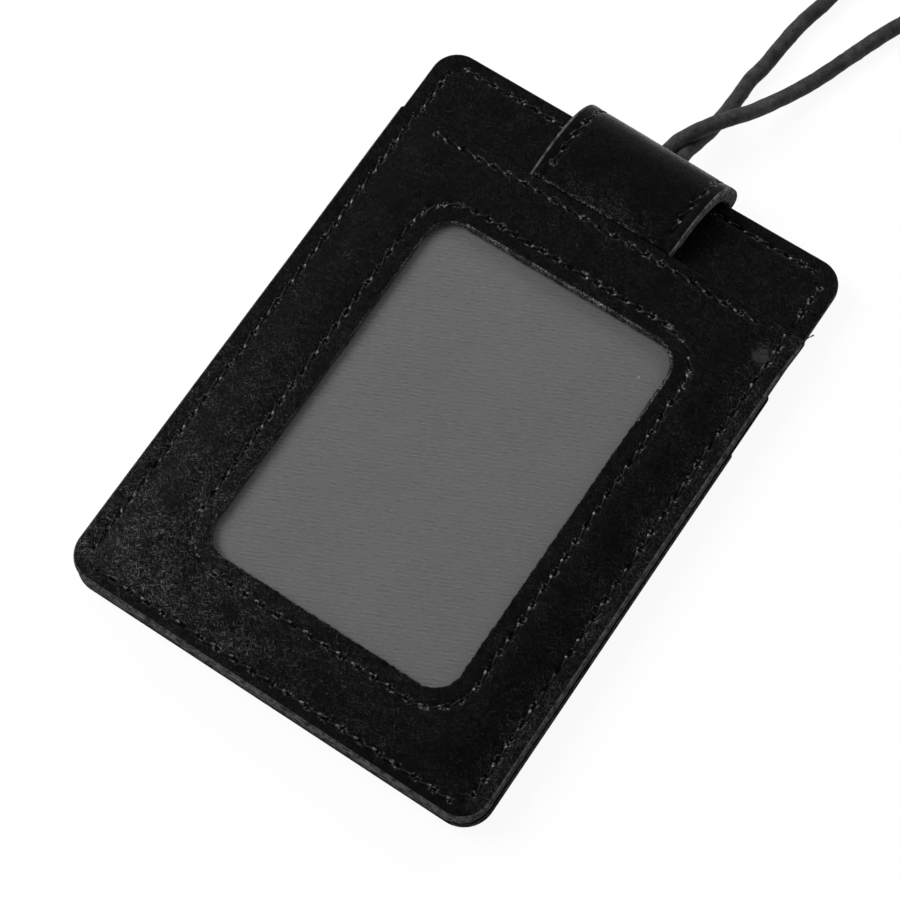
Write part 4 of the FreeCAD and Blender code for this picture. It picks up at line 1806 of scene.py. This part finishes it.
@dataclass
class StrapLoop:
    """Doubled leather strap that leaves the pocket's mouth, arches over the top edge and is sewn on behind."""

    finishes: Finishes
    half: float = 13.2
    leather: float = 1.2
    leather_gap: float = 0.01
    rounding: float = 0.34
    parting: float = 0.02
    paint: float = 0.45
    back_paint: float = 0.6
    # Side profile of the outer face, as Y and Z, and where the second leather lies along it
    profile: tuple[Span, ...] = (
        (32.8, 6.2), (36.5, 6.2), (38.3, 6.35), (39.7, 7.2), (41.6, 8.55), (43.8, 9.75), (46.2, 10.5), (48.6, 10.7),
        (50.7, 10.15), (52.35, 9.05), (53.5, 7.25), (54.15, 5.2), (54.45, 3.2), (54.45, 1.5), (53.6, 0.8), (51.5, 0.8),
        (48.0, 0.8), (41.0, 0.8), (35.45, 0.8))
    profile_resolution: int = 24
    step: float = 0.3
    end_margin: float = 0.001
    fold_at: Span = (54.5, 2.4)
    lining_past_mouth: float = 1.6
    lining_start_height: float = 7.2
    lining_end: Span = (54.4, 2.9)
    # Lean and turn of the free stretch
    lean: float = 0.13
    foot_shift: float = -0.2
    most_shift: float = 2.4
    turn: float = 0.022
    free_from: Span = (0.0, 8.0)
    free_to: Span = (0.0, 5.0)
    # Stitches
    row: float = 11.0
    groove: float = 0.22
    groove_width: float = 0.5
    needle_reach: float = 1.3
    needle_width: float = 0.45
    dimple: float = 0.25
    side_slant: float = 0.24
    end_slant: float = 0.20
    # Creases, and the painted shadow where the strap goes under the mouth
    mouth_crease_shade_at: float = 0.15
    mouth_crease_shade_width: float = 0.55
    crease: Sway = Sway(0.07, 0.9, 60.0)
    crease_run: Span = (15.5, 8.5)
    crease_shares: Point = (0.6, 0.3, 1.4)
    face_sway: Sway = Sway(0.04, 6.0, 14.0)
    # Cord hole
    hole_middle: float = 4.0
    hole_width: float = 5.9
    hole_low: float = 3.05
    hole_high: float = 7.35
    hole_from: float = 48.5
    hole_through: float = 9.0
    hole_segments: int = 40
    # Mesh
    face_columns: int = 72
    back_columns: int = 16
    row_step: float = 0.33

    def __post_init__(self) -> None:
        """Lay out the side profile of the outer face."""
        points = [Vector((0.0, y, z)) for y, z in self.profile]
        self.line = even_steps(nurbs_line(points, self.profile_resolution), self.step)
        self.normals = [Vector((0.0, -way.z, way.y)) for way in ways(self.line)]
        self.length = self.step * (len(self.line) - 1)
        self.mouth = node_box("front_panel")[1].y
        self.mouth_mark = self.nearest(self.mouth, self.profile[0][1])
        self.fold_mark = self.nearest(*self.fold_at)
        self.side_bars = {name: read_bars(name) for name in ("strap_left_seam", "strap_right_seam")}
        self.marks = {name: [self.nearest(bar.middle.y, bar.middle.z) for bar in bars]
                      for name, bars in self.side_bars.items()}

    def nearest(self, y: float, z: float) -> float:
        """Distance along the profile of the place nearest to a point, as seen from the side."""
        flat = Vector((0.0, y, z))
        return self.step * min(range(len(self.line)), key=lambda spot: (self.line[spot] - flat).length)

    def point(self, distance: float, x: float, depth: float) -> Vector:
        """Point of the strap.

        Args:
            distance: Along the outer face from its tail.
            x: Across the strap from its middle line.
            depth: Under the outer face.

        Returns:
            Point in the frame.
        """
        index = min(max(distance / self.step, 0.0), len(self.line) - 1 - self.end_margin)
        low = int(index)
        share = index - low
        spot = self.line[low].lerp(self.line[low + 1], share)
        normal = self.normals[low].lerp(self.normals[low + 1], share).normalized()
        shift = min(self.foot_shift + max(distance - self.mouth_mark, 0.0) * self.lean, self.most_shift)
        free = ramp(distance - self.mouth_mark, self.free_from) * ramp(self.fold_mark - distance, self.free_to)
        return Vector((x + shift, -self.turn * free * x, 0.0)) + spot - normal * depth

    def hole_share(self, distance: float, x: float) -> float:
        """How deep in a needle hole, or in the crease at the mouth, a point of the outer face lies, from 0 to 1; the
        share dents the face and carries the painted shade of the holes and the painted shadow at the mouth.

        Args:
            distance: Along the outer face from its tail.
            x: Across the strap from its middle line.

        Returns:
            Share from 0 to 1.
        """
        marks = self.marks["strap_left_seam" if x < 0 else "strap_right_seam"]
        nearest = min(abs(abs(distance - mark) - self.needle_reach) for mark in marks)
        # The crease at the mouth also carries the painted shadow of the front leather's mouth
        crease = bump(distance - self.mouth_mark - self.mouth_crease_shade_at, self.mouth_crease_shade_width)
        return max(bump(math.hypot(abs(x) - self.row, nearest), self.needle_width), crease)

    def relief(self, distance: float, x: float) -> float:
        """Depth of the grooves, needle dimples and creases of the outer face.

        Args:
            distance: Along the outer face from its tail.
            x: Across the strap from its middle line.

        Returns:
            Depth.
        """
        deep = self.groove * bump(abs(x) - self.row, self.groove_width) + self.dimple * self.hole_share(distance, x)
        across, slant, along = self.crease_shares
        crease = self.crease.at(x * across + slant * distance, distance * along) * ramp(distance, self.crease_run)
        return deep + crease + self.face_sway.at(x, distance)

    def section(self, near: float, far: float, top_round: float, low_round: float) -> list[tuple[float, float, bool]]:
        """Closed section of one leather: X, depth and paint of each point.

        Args:
            near: Depth of its upper face.
            far: Depth of its lower face.
            top_round: Radius of its upper corners.
            low_round: Radius of its lower corners.

        Returns:
            Points round the section.
        """
        face, back = self.half - self.paint, self.half - self.back_paint
        upper = [(-face + 2.0 * face * step / self.face_columns, near, step in (0, self.face_columns))
                 for step in range(self.face_columns + 1)]
        right = [(self.half - top_round * inset, near + top_round * drop, True) for inset, drop in QUARTER]
        right += [(self.half - low_round * inset, far - low_round * lift, True) for lift, inset in QUARTER]
        lower = [(back - 2.0 * back * step / self.back_columns, far, step in (0, self.back_columns))
                 for step in range(self.back_columns + 1)]
        return upper + right + lower + [(-x, depth, True) for x, depth, _ in reversed(right)]

    def band(self, section: Sequence[tuple[float, float, bool]], start: float, end: float,
             shaped: bool) -> bmesh.types.BMesh:
        """Leather band along the profile.

        Args:
            section: Its closed section.
            start: Distance along the profile where it begins.
            end: Distance where it ends.
            shaped: Whether its upper face has grooves and creases.

        Returns:
            Closed mesh.
        """
        columns = len(section)
        mesh = new_grid(columns, round((end - start) / self.row_step))
        layer = mesh.verts.layers.float.new("hole")
        for face in mesh.faces:
            column = cell_at(face.calc_center_median().x, columns)
            face.material_index = int(section[column][2] and section[(column + 1) % columns][2])
        for vert in mesh.verts:
            x, depth, _ = section[line_at(vert.co.x, columns) % columns]
            distance = start + (end - start) * (vert.co.y + 1.0) / 2.0
            if shaped and depth < self.leather / 2:
                vert[layer] = self.hole_share(distance, x)
                depth += self.relief(distance, x)
            vert.co = self.point(distance, x, depth)
        for face in close_mesh(mesh):
            face.material_index = Coat.EDGE.value
        return mesh

    def hole_cutter(self) -> bpy.types.Object:
        """Round-ended bar that cuts the cord's hole.

        Returns:
            Object that is in the scene until the hole is cut.
        """
        radius = (self.hole_high - self.hole_low) / 2
        flat = self.hole_width / 2 - radius
        mesh = bmesh.new()
        bmesh.ops.create_circle(mesh, cap_ends=True, radius=radius, segments=self.hole_segments)
        for vert in mesh.verts:
            x = self.hole_middle + vert.co.x + math.copysign(flat, vert.co.x)
            vert.co = (x, self.hole_from, (self.hole_high + self.hole_low) / 2 + vert.co.y)
        grown = bmesh.ops.extrude_face_region(mesh, geom=mesh.faces[:])
        moved = [item for item in grown["geom"] if isinstance(item, bmesh.types.BMVert)]
        bmesh.ops.translate(mesh, vec=(0.0, self.hole_through, 0.0), verts=moved)
        bmesh.ops.recalc_face_normals(mesh, faces=mesh.faces)
        bmesh.ops.scale(mesh, vec=(MM, MM, MM), verts=mesh.verts)
        return link_mesh(mesh, "hole_cutter", [self.finishes.strap_edge])

    def pierce(self, piece: bpy.types.Object, cutter: bpy.types.Object) -> None:
        """Cut the cord's hole through one leather.

        Args:
            piece: The leather.
            cutter: The bar that is cut away.
        """
        cut = piece.modifiers.new("cord_hole", "BOOLEAN")
        cut.object = cutter
        cut.operation = "DIFFERENCE"
        cut.solver = "EXACT"
        cut.material_mode = "TRANSFER"
        bpy.context.view_layer.update()
        solid = bpy.data.meshes.new_from_object(piece.evaluated_get(bpy.context.evaluated_depsgraph_get()))
        piece.modifiers.remove(cut)
        old = piece.data
        piece.data = solid
        bpy.data.meshes.remove(old)

    def build(self) -> None:
        """Make both leathers, cut the cord's hole and sew them."""
        leathers = [self.finishes.strap_leather, self.finishes.strap_edge]
        outer = self.band(self.section(0.0, self.leather, self.rounding, self.parting), 0.0, self.length, True)
        face = make_piece(outer, "strap_face", leathers, Body.WALLET, Slot.LEATHER, ["strap_outer"])
        inner_section = self.section(self.leather + self.leather_gap, 2.0 * self.leather, self.parting, self.rounding)
        start = self.nearest(self.mouth + self.lining_past_mouth, self.lining_start_height)
        inner = self.band(inner_section, start, self.nearest(*self.lining_end), False)
        back = make_piece(inner, "strap_back", leathers, Body.WALLET, Slot.LEATHER, ["strap_lining"])
        cutter = self.hole_cutter()
        self.pierce(face, cutter)
        self.pierce(back, cutter)
        data = cutter.data
        bpy.data.objects.remove(cutter)
        bpy.data.meshes.remove(data)
        self.sew()

    def sew(self) -> None:
        """Sew both sides and both ends of the strap."""
        for side, seam in ((-1.0, Seam("strap_left_stitches", "strap_left_seam", self.side_slant, 41)),
                           (1.0, Seam("strap_right_stitches", "strap_right_seam", self.side_slant, 42))):
            for bar, mark in zip(self.side_bars[seam.node], self.marks[seam.node]):
                seam.sew(self.beside_edge(mark, side * self.row), bar.length)
            seam.finish(self.finishes.thread)
        for seam in (Seam("strap_tail_stitches", "strap_front_anchor_seam", self.end_slant, 51),
                     Seam("strap_end_stitches", "strap_rear_anchor_seam", self.end_slant, 52)):
            for bar in read_bars(seam.node):
                seam.sew(self.across(self.nearest(bar.middle.y, bar.middle.z), bar.middle.x), bar.length)
            seam.finish(self.finishes.thread)

    def beside_edge(self, mark: float, x: float) -> Place:
        """Places about a stitch that runs along the strap's side."""
        return lambda forward, aside, lift: self.point(mark + forward, x + aside, self.groove - lift)

    def across(self, mark: float, x: float) -> Place:
        """Places about a stitch that runs across the strap's end."""
        return lambda forward, aside, lift: self.point(mark + aside, x + forward, -lift)


@dataclass(frozen=True)
class Lump:
    """Lumps of a cord: their share of its radius, how far out they are read and how close they lie."""

    share: float
    out: float
    scale: float


@dataclass
class NeckCord:
    """Neck cord: two strands, the put-away coil, the knot inside the strap and the tie."""

    finishes: Finishes
    diameter: float = 2.6
    length: float = 0.872
    height: float = 5.75
    upper_x: float = 5.35
    lower_x: float = 2.65
    girth: float = 0.985
    lumps: tuple[Lump, ...] = (Lump(0.08, 0.9, 0.42), Lump(0.05, 1.0, 0.95))
    sides: int = 16
    resolution: int = 12
    step: float = 0.7
    # Both strands, from the hole to the coil
    upper_route: tuple[Point, ...] = (
        (5.35, 52.6, 5.95), (5.2, 55.4, 5.3), (5.5, 58.5, 3.9), (6.1, 62.5, 2.6), (6.35, 69.35, 1.7), (6.17, 73.6, 1.5),
        (7.0, 77.1, 1.5), (7.38, 83.75, 1.5), (8.0, 88.1, 1.5), (9.6, 94.2, 1.5), (9.9, 101.2, 1.5), (8.8, 108.1, 1.5),
        (6.7, 114.8, 1.7), (5.0, 121.7, 2.1))
    lower_route: tuple[Point, ...] = (
        (2.65, 52.0, 5.75), (3.1, 55.3, 6.0), (4.4, 58.0, 6.5), (6.93, 61.6, 6.9), (8.56, 64.2, 6.3),
        (10.64, 68.0, 4.8), (13.25, 74.17, 2.7), (15.7, 80.5, 1.6), (18.00, 87.06, 1.5), (21.0, 94.9, 1.5),
        (25.2, 102.3, 1.6), (31.5, 106.2, 2.4), (38.2, 109.3, 3.9))
    # Coil
    coil_middle: Point = (27.8, 130.8, 0.0)
    coil_heading: float = math.radians(20.0)
    coil_radius: float = 20.425
    coil_low: float = 2.3
    coil_step: float = 3.1
    half_turns: int = 7
    points_per_half: int = 8
    lead: float = 7.0
    # Knot
    knot_share: float = 0.92
    knot_columns: int = 28
    knot_rows: int = 48
    knot_merge: float = 0.01
    knot_wraps: float = 1.5
    knot_slant: float = 0.16
    knot_waist: float = 0.82
    knot_power: float = 0.6
    knot_end_power: int = 7
    # Tie
    tie_near: float = 11.4
    tie_far: float = 22.8
    tie_top: float = 8.2
    tie_radius: float = 1.4
    tie_half: float = 2.0
    tie_thick: float = 0.5
    tie_corner: tuple[Span, ...] = ((0.0, 0.2), (0.06, 0.06), (0.2, 0.0))
    tie_columns: tuple[int, int, int, int] = (14, 10, 6, 6)

    def __post_init__(self) -> None:
        """Turn the coil's own axes."""
        self.heading = Vector((math.sin(self.coil_heading), math.cos(self.coil_heading), 0.0))
        self.across = Vector((self.heading.y, -self.heading.x, 0.0))

    def coil_points(self) -> list[Vector]:
        """Control points of the coil: a spiral in, a climb and a spiral out on top.

        Returns:
            Points in order along the cord.
        """
        outwards = 1.0 / math.cos(math.pi / 2 / self.points_per_half)
        total = 2 * self.half_turns + 1
        points = []
        for count in range(total * self.points_per_half + 1):
            turn = count / self.points_per_half
            inwards = min(turn, total - turn, self.half_turns)
            dip = math.sin(math.pi * min(max(turn - self.half_turns, 0.0), 1.0))
            radius = (self.coil_radius - inwards * self.coil_step / 2 - dip * self.coil_step / 4) * outwards
            out = self.across * -math.cos(math.pi * turn) + self.heading * math.sin(math.pi * turn)
            z = self.coil_low + self.coil_step * smooth(turn - self.half_turns)
            points.append(Vector(self.coil_middle) + out * radius + Vector((0.0, 0.0, z)))
        return points

    def route(self) -> list[Vector]:
        """Control points of the whole cord, from the knot round the coil and back to the knot.

        Returns:
            Points in order along the cord.
        """
        knot = node_box("cord_knot")[1].y
        coil = self.coil_points()
        strands = []
        for x, route, end, before in ((self.upper_x, self.upper_route, coil[0], coil[1]),
                                      (self.lower_x, self.lower_route, coil[-1], coil[-2])):
            strand = [Vector((x, knot, self.height)), *(Vector(point) for point in route)]
            strands.append(strand + [end + (end - before).normalized() * (self.diameter + self.lead)])
        upper, lower = strands
        return upper + coil + lower[::-1]

    def build(self) -> None:
        """Make the cord, its knot and its tie."""
        line = even_steps(nurbs_line(self.route(), self.resolution), self.step)
        cord = self.build_tube(line)
        knot = self.build_knot()
        tie = self.build_tie()

    def build_tube(self, line: Sequence[Vector]) -> bpy.types.Object:
        """Lumpy round cord along its line.

        Args:
            line: Points of its middle line.

        Returns:
            Its object.
        """
        rows = len(line) - 1
        mesh = new_grid(self.sides, rows, mapped=True)
        frames = []
        side = Vector((1.0, 0.0, 0.0))
        for way in ways(line):
            side = (side - way * side.dot(way)).normalized()
            frames.append((side, way.cross(side)))
        for vert in mesh.verts:
            index = line_at(vert.co.y, rows)
            angle = math.pi * vert.co.x
            first, second = frames[index]
            out = first * math.cos(angle) + second * math.sin(angle)
            middle = line[index]
            lumpy = sum(lump.share * noise.noise((middle + out * lump.out) * lump.scale) for lump in self.lumps)
            vert.co = middle + out * (self.diameter / 2 * (self.girth + lumpy))
        close_mesh(mesh)
        return make_piece(mesh, "neck_cord", [self.finishes.cord], Body.CORD, Slot.CORD,
                          ["cord_upper_strand", "cord_lower_strand", "cord_coil"])

    def build_knot(self) -> bpy.types.Object:
        """Wrapped knot in the box of its CAD node.

        Returns:
            Its object.
        """
        low, high = node_box("cord_knot")
        middle = (low + high) / 2
        size = (high - low) / 2 * self.knot_share
        mesh = new_grid(self.knot_columns, self.knot_rows, mapped=True)
        for vert in mesh.verts:
            angle = math.pi * vert.co.x
            share = vert.co.y
            wrap = abs(math.sin(math.pi * self.knot_wraps * (share + self.knot_slant * math.sin(angle))))
            girth = self.knot_waist + (1.0 - self.knot_waist) * wrap ** self.knot_power
            girth *= math.sqrt(max(1.0 - abs(share) ** self.knot_end_power, 0.0))
            vert.co = (middle.x + share * size.x, middle.y + girth * size.y * math.cos(angle),
                       middle.z + girth * size.z * math.sin(angle))
        close_mesh(mesh, self.knot_merge)
        return make_piece(mesh, "strap_knot", [self.finishes.cord], Body.CORD, Slot.CORD, ["cord_knot"])

    def build_tie(self) -> bpy.types.Object:
        """Band round all turns of the coil.

        Returns:
            Its object.
        """
        radial_half, radial_middle = (self.tie_far - self.tie_near) / 2, (self.tie_far + self.tie_near) / 2
        outer = Outline(radial_half, 0.0, self.tie_top, self.tie_radius, self.tie_radius, radial_middle)
        places = ring_places(*self.tie_columns)
        side = [(depth, -self.tie_half + width) for depth, width in self.tie_corner]
        side += [(self.tie_thick - depth, width) for depth, width in reversed(side)]
        other = [(depth, -width) for depth, width in reversed(side)]
        section = [*side, (self.tie_thick, 0.0), *other, (0.0, 0.0)]
        mesh = new_grid(len(section), len(places), mapped=True)
        for vert in mesh.verts:
            depth, width = section[line_at(vert.co.x, len(section)) % len(section)]
            radial, z = outer.grown(-depth).point(places[line_at(vert.co.y, len(places)) % len(places)])
            vert.co = Vector(self.coil_middle) + self.heading * radial + self.across * width + Vector((0.0, 0.0, z))
        close_mesh(mesh)
        return make_piece(mesh, "coil_band", [self.finishes.tie], Body.CORD, Slot.TIE, ["coil_tie"])


# Surface, light and camera

@dataclass(frozen=True)
class Lamp:
    """Soft box, in metres and watts."""

    name: str
    place: Point
    width: float
    height: float
    power: float
    aim: Point = (0.0, 0.0, 0.0)


@dataclass
class Studio:
    """White surface, soft light and the photograph's viewpoint."""

    eye: Point = (87.014, -112.986, 376.509)
    aim: Point = (1.993, -7.308, 6.0)
    roll: float = math.radians(-5.369)
    lens: float = 103.33
    sensor: float = 36.0
    clip: Span = (0.01, 20.0)
    floor_drop: float = 0.06
    floor_size: float = 3.0
    floor_cells: int = 8
    horizon: float = 0.875
    backdrop: float = 1.0
    zenith: float = 0.18
    zenith_from: float = 0.75
    lamps: tuple[Lamp, ...] = (
        Lamp("key_box", (-0.49, -0.08, 0.48), 0.40, 0.40, 4.6),
        Lamp("back_box", (0.05, 0.60, 0.30), 0.5, 0.3, 2.4),
    )

    def build(self) -> None:
        """Make the surface, the world, the lamps and the camera."""
        self.build_floor()
        self.build_world()
        for lamp in self.lamps:
            self.build_lamp(lamp)
        self.build_camera()

    def build_floor(self) -> None:
        """Lay the white surface just under the wallet."""
        mesh = bmesh.new()
        bmesh.ops.create_grid(mesh, x_segments=self.floor_cells, y_segments=self.floor_cells, size=self.floor_size)
        bmesh.ops.translate(mesh, vec=(0.0, 0.0, -self.floor_drop * MM), verts=mesh.verts)
        floor = link_mesh(mesh, "surface", [FloorFinish().material()])
        floor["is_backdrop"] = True

    def build_world(self) -> None:
        """Room that is pale round the horizon and dark overhead, with a white backdrop for what looks at it."""
        world = bpy.data.worlds.new("room")
        graph = Graph(world)
        height = graph.parts(graph.place("Generated"))["Z"]
        room, backdrop = (graph.add("MapRange", {"Value": height, "From Max": self.zenith_from, "To Min": low,
                                                 "To Max": self.zenith}, interpolation_type="SMOOTHSTEP")
                          for low in (self.horizon, self.backdrop))
        strength = graph.add("Mix", {0: graph.seen(), 2: room.outputs["Result"], 3: backdrop.outputs["Result"]})
        sky = graph.add("Background", {"Color": grey(1.0, 1.0), "Strength": strength.outputs[0]})
        graph.add("OutputWorld", {"Surface": sky.outputs["Background"]})
        bpy.context.scene.world = world

    def stand(self, data: bpy.types.ID, place: Vector, aim: Vector, roll: float = 0.0) -> bpy.types.Object:
        """Stand a lamp or a camera in the room.

        Args:
            data: The lamp or camera.
            place: Where it stands, in metres.
            aim: Point that it looks at, in metres.
            roll: Turn about its own line of sight.

        Returns:
            Its object.
        """
        stood = bpy.data.objects.new(data.name, data)
        stood.location = place
        stood.rotation_mode = "QUATERNION"
        stood.rotation_quaternion = (aim - place).to_track_quat("-Z", "Y") @ Quaternion((0.0, 0.0, 1.0), roll)
        bpy.context.scene.collection.objects.link(stood)
        return stood

    def build_lamp(self, lamp: Lamp) -> None:
        """Hang one soft box.

        Args:
            lamp: Its place, size and power.
        """
        data = bpy.data.lights.new(lamp.name, "AREA")
        data.shape = "RECTANGLE"
        data.size, data.size_y, data.energy = lamp.width, lamp.height, lamp.power
        self.stand(data, Vector(lamp.place), Vector(lamp.aim))

    def build_camera(self) -> None:
        """Stand the camera where the photograph was taken."""
        data = bpy.data.cameras.new("viewpoint")
        data.lens, data.sensor_width, data.sensor_fit = self.lens, self.sensor, "HORIZONTAL"
        data.clip_start, data.clip_end = self.clip
        bpy.context.scene.camera = self.stand(data, Vector(self.eye) * MM, Vector(self.aim) * MM, self.roll)


def write_sizes() -> None:
    """Gather the CAD model's box and the visual model's box."""
    boxes = {"cad": CAD_BOX, "visual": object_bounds()}
    {name: [list(low), list(high)] for name, (low, high) in boxes.items()}


def make_finishes() -> Finishes:
    """Make every material of the wallet.

    Returns:
        The materials.
    """
    # The first pale spot is a painted highlight on a dent near the mouth's right end, the second a scratch
    panel = LeatherFinish(fibre_glint_share=FibreGlintShare(sparse_below=-52.6, right_most=0.4),
                          scratch_and_dent_highlight=(((33.8, 31.9, 6.1), 2.7), ((2.9, 32.8, 6.3), 0.9)))
    strap = LeatherFinish("strap_leather", FibreGlintShare(least=0.10, most=1.3, at=(0.0, 36.5, 6.5), reach=9.0, across=1.9),
                          depth=0.03, roughness=0.48, specular=0.02, sheen=0.29)
    return Finishes(
        leather=panel.material(), smooth_leather=LeatherFinish("smooth_leather", FibreGlintShare(most=0.0)).material(),
        # The edge paint's paler faces towards -Y are painted light
        strap_leather=strap.material(), raw=RawEdgeFinish().material(), edge=EdgePaintFinish().material(),
        # Darker edge paint: painted shade between the layers, darker still on the faces towards -Y
        painted_shade_edge=EdgePaintFinish("painted_shade_edge", deep=0.006, side=0.050, bottom=0.030).material(),
        strap_edge=EdgePaintFinish("strap_edge", deep=0.025, side=0.110, bottom=0.110).material(),
        thread=ThreadFinish().material(), twill=TwillFinish().material(), film=FilmFinish().material(),
        cord=CordFinish().material(), board=BoardFinish().material(), tie=TieFinish().material())


def main() -> None:
    """Build the studio and every piece of the wallet."""
    logging.basicConfig(level=logging.INFO, format="%(name)s: %(message)s")
    bpy.context.scene.view_settings.view_transform = "Standard"
    Studio().build()
    finishes = make_finishes()
    NeckCord(finishes).build()
    stack = SheetStack(finishes)
    stack.build()
    pocket = WindowPocket(finishes)
    pocket.build_leather()
    pocket.build_film()
    pocket.build_lining()
    pocket.build_seams(stack.inner_face)
    StrapLoop(finishes).build()
    write_sizes()


if __name__ == "__main__":
    main()
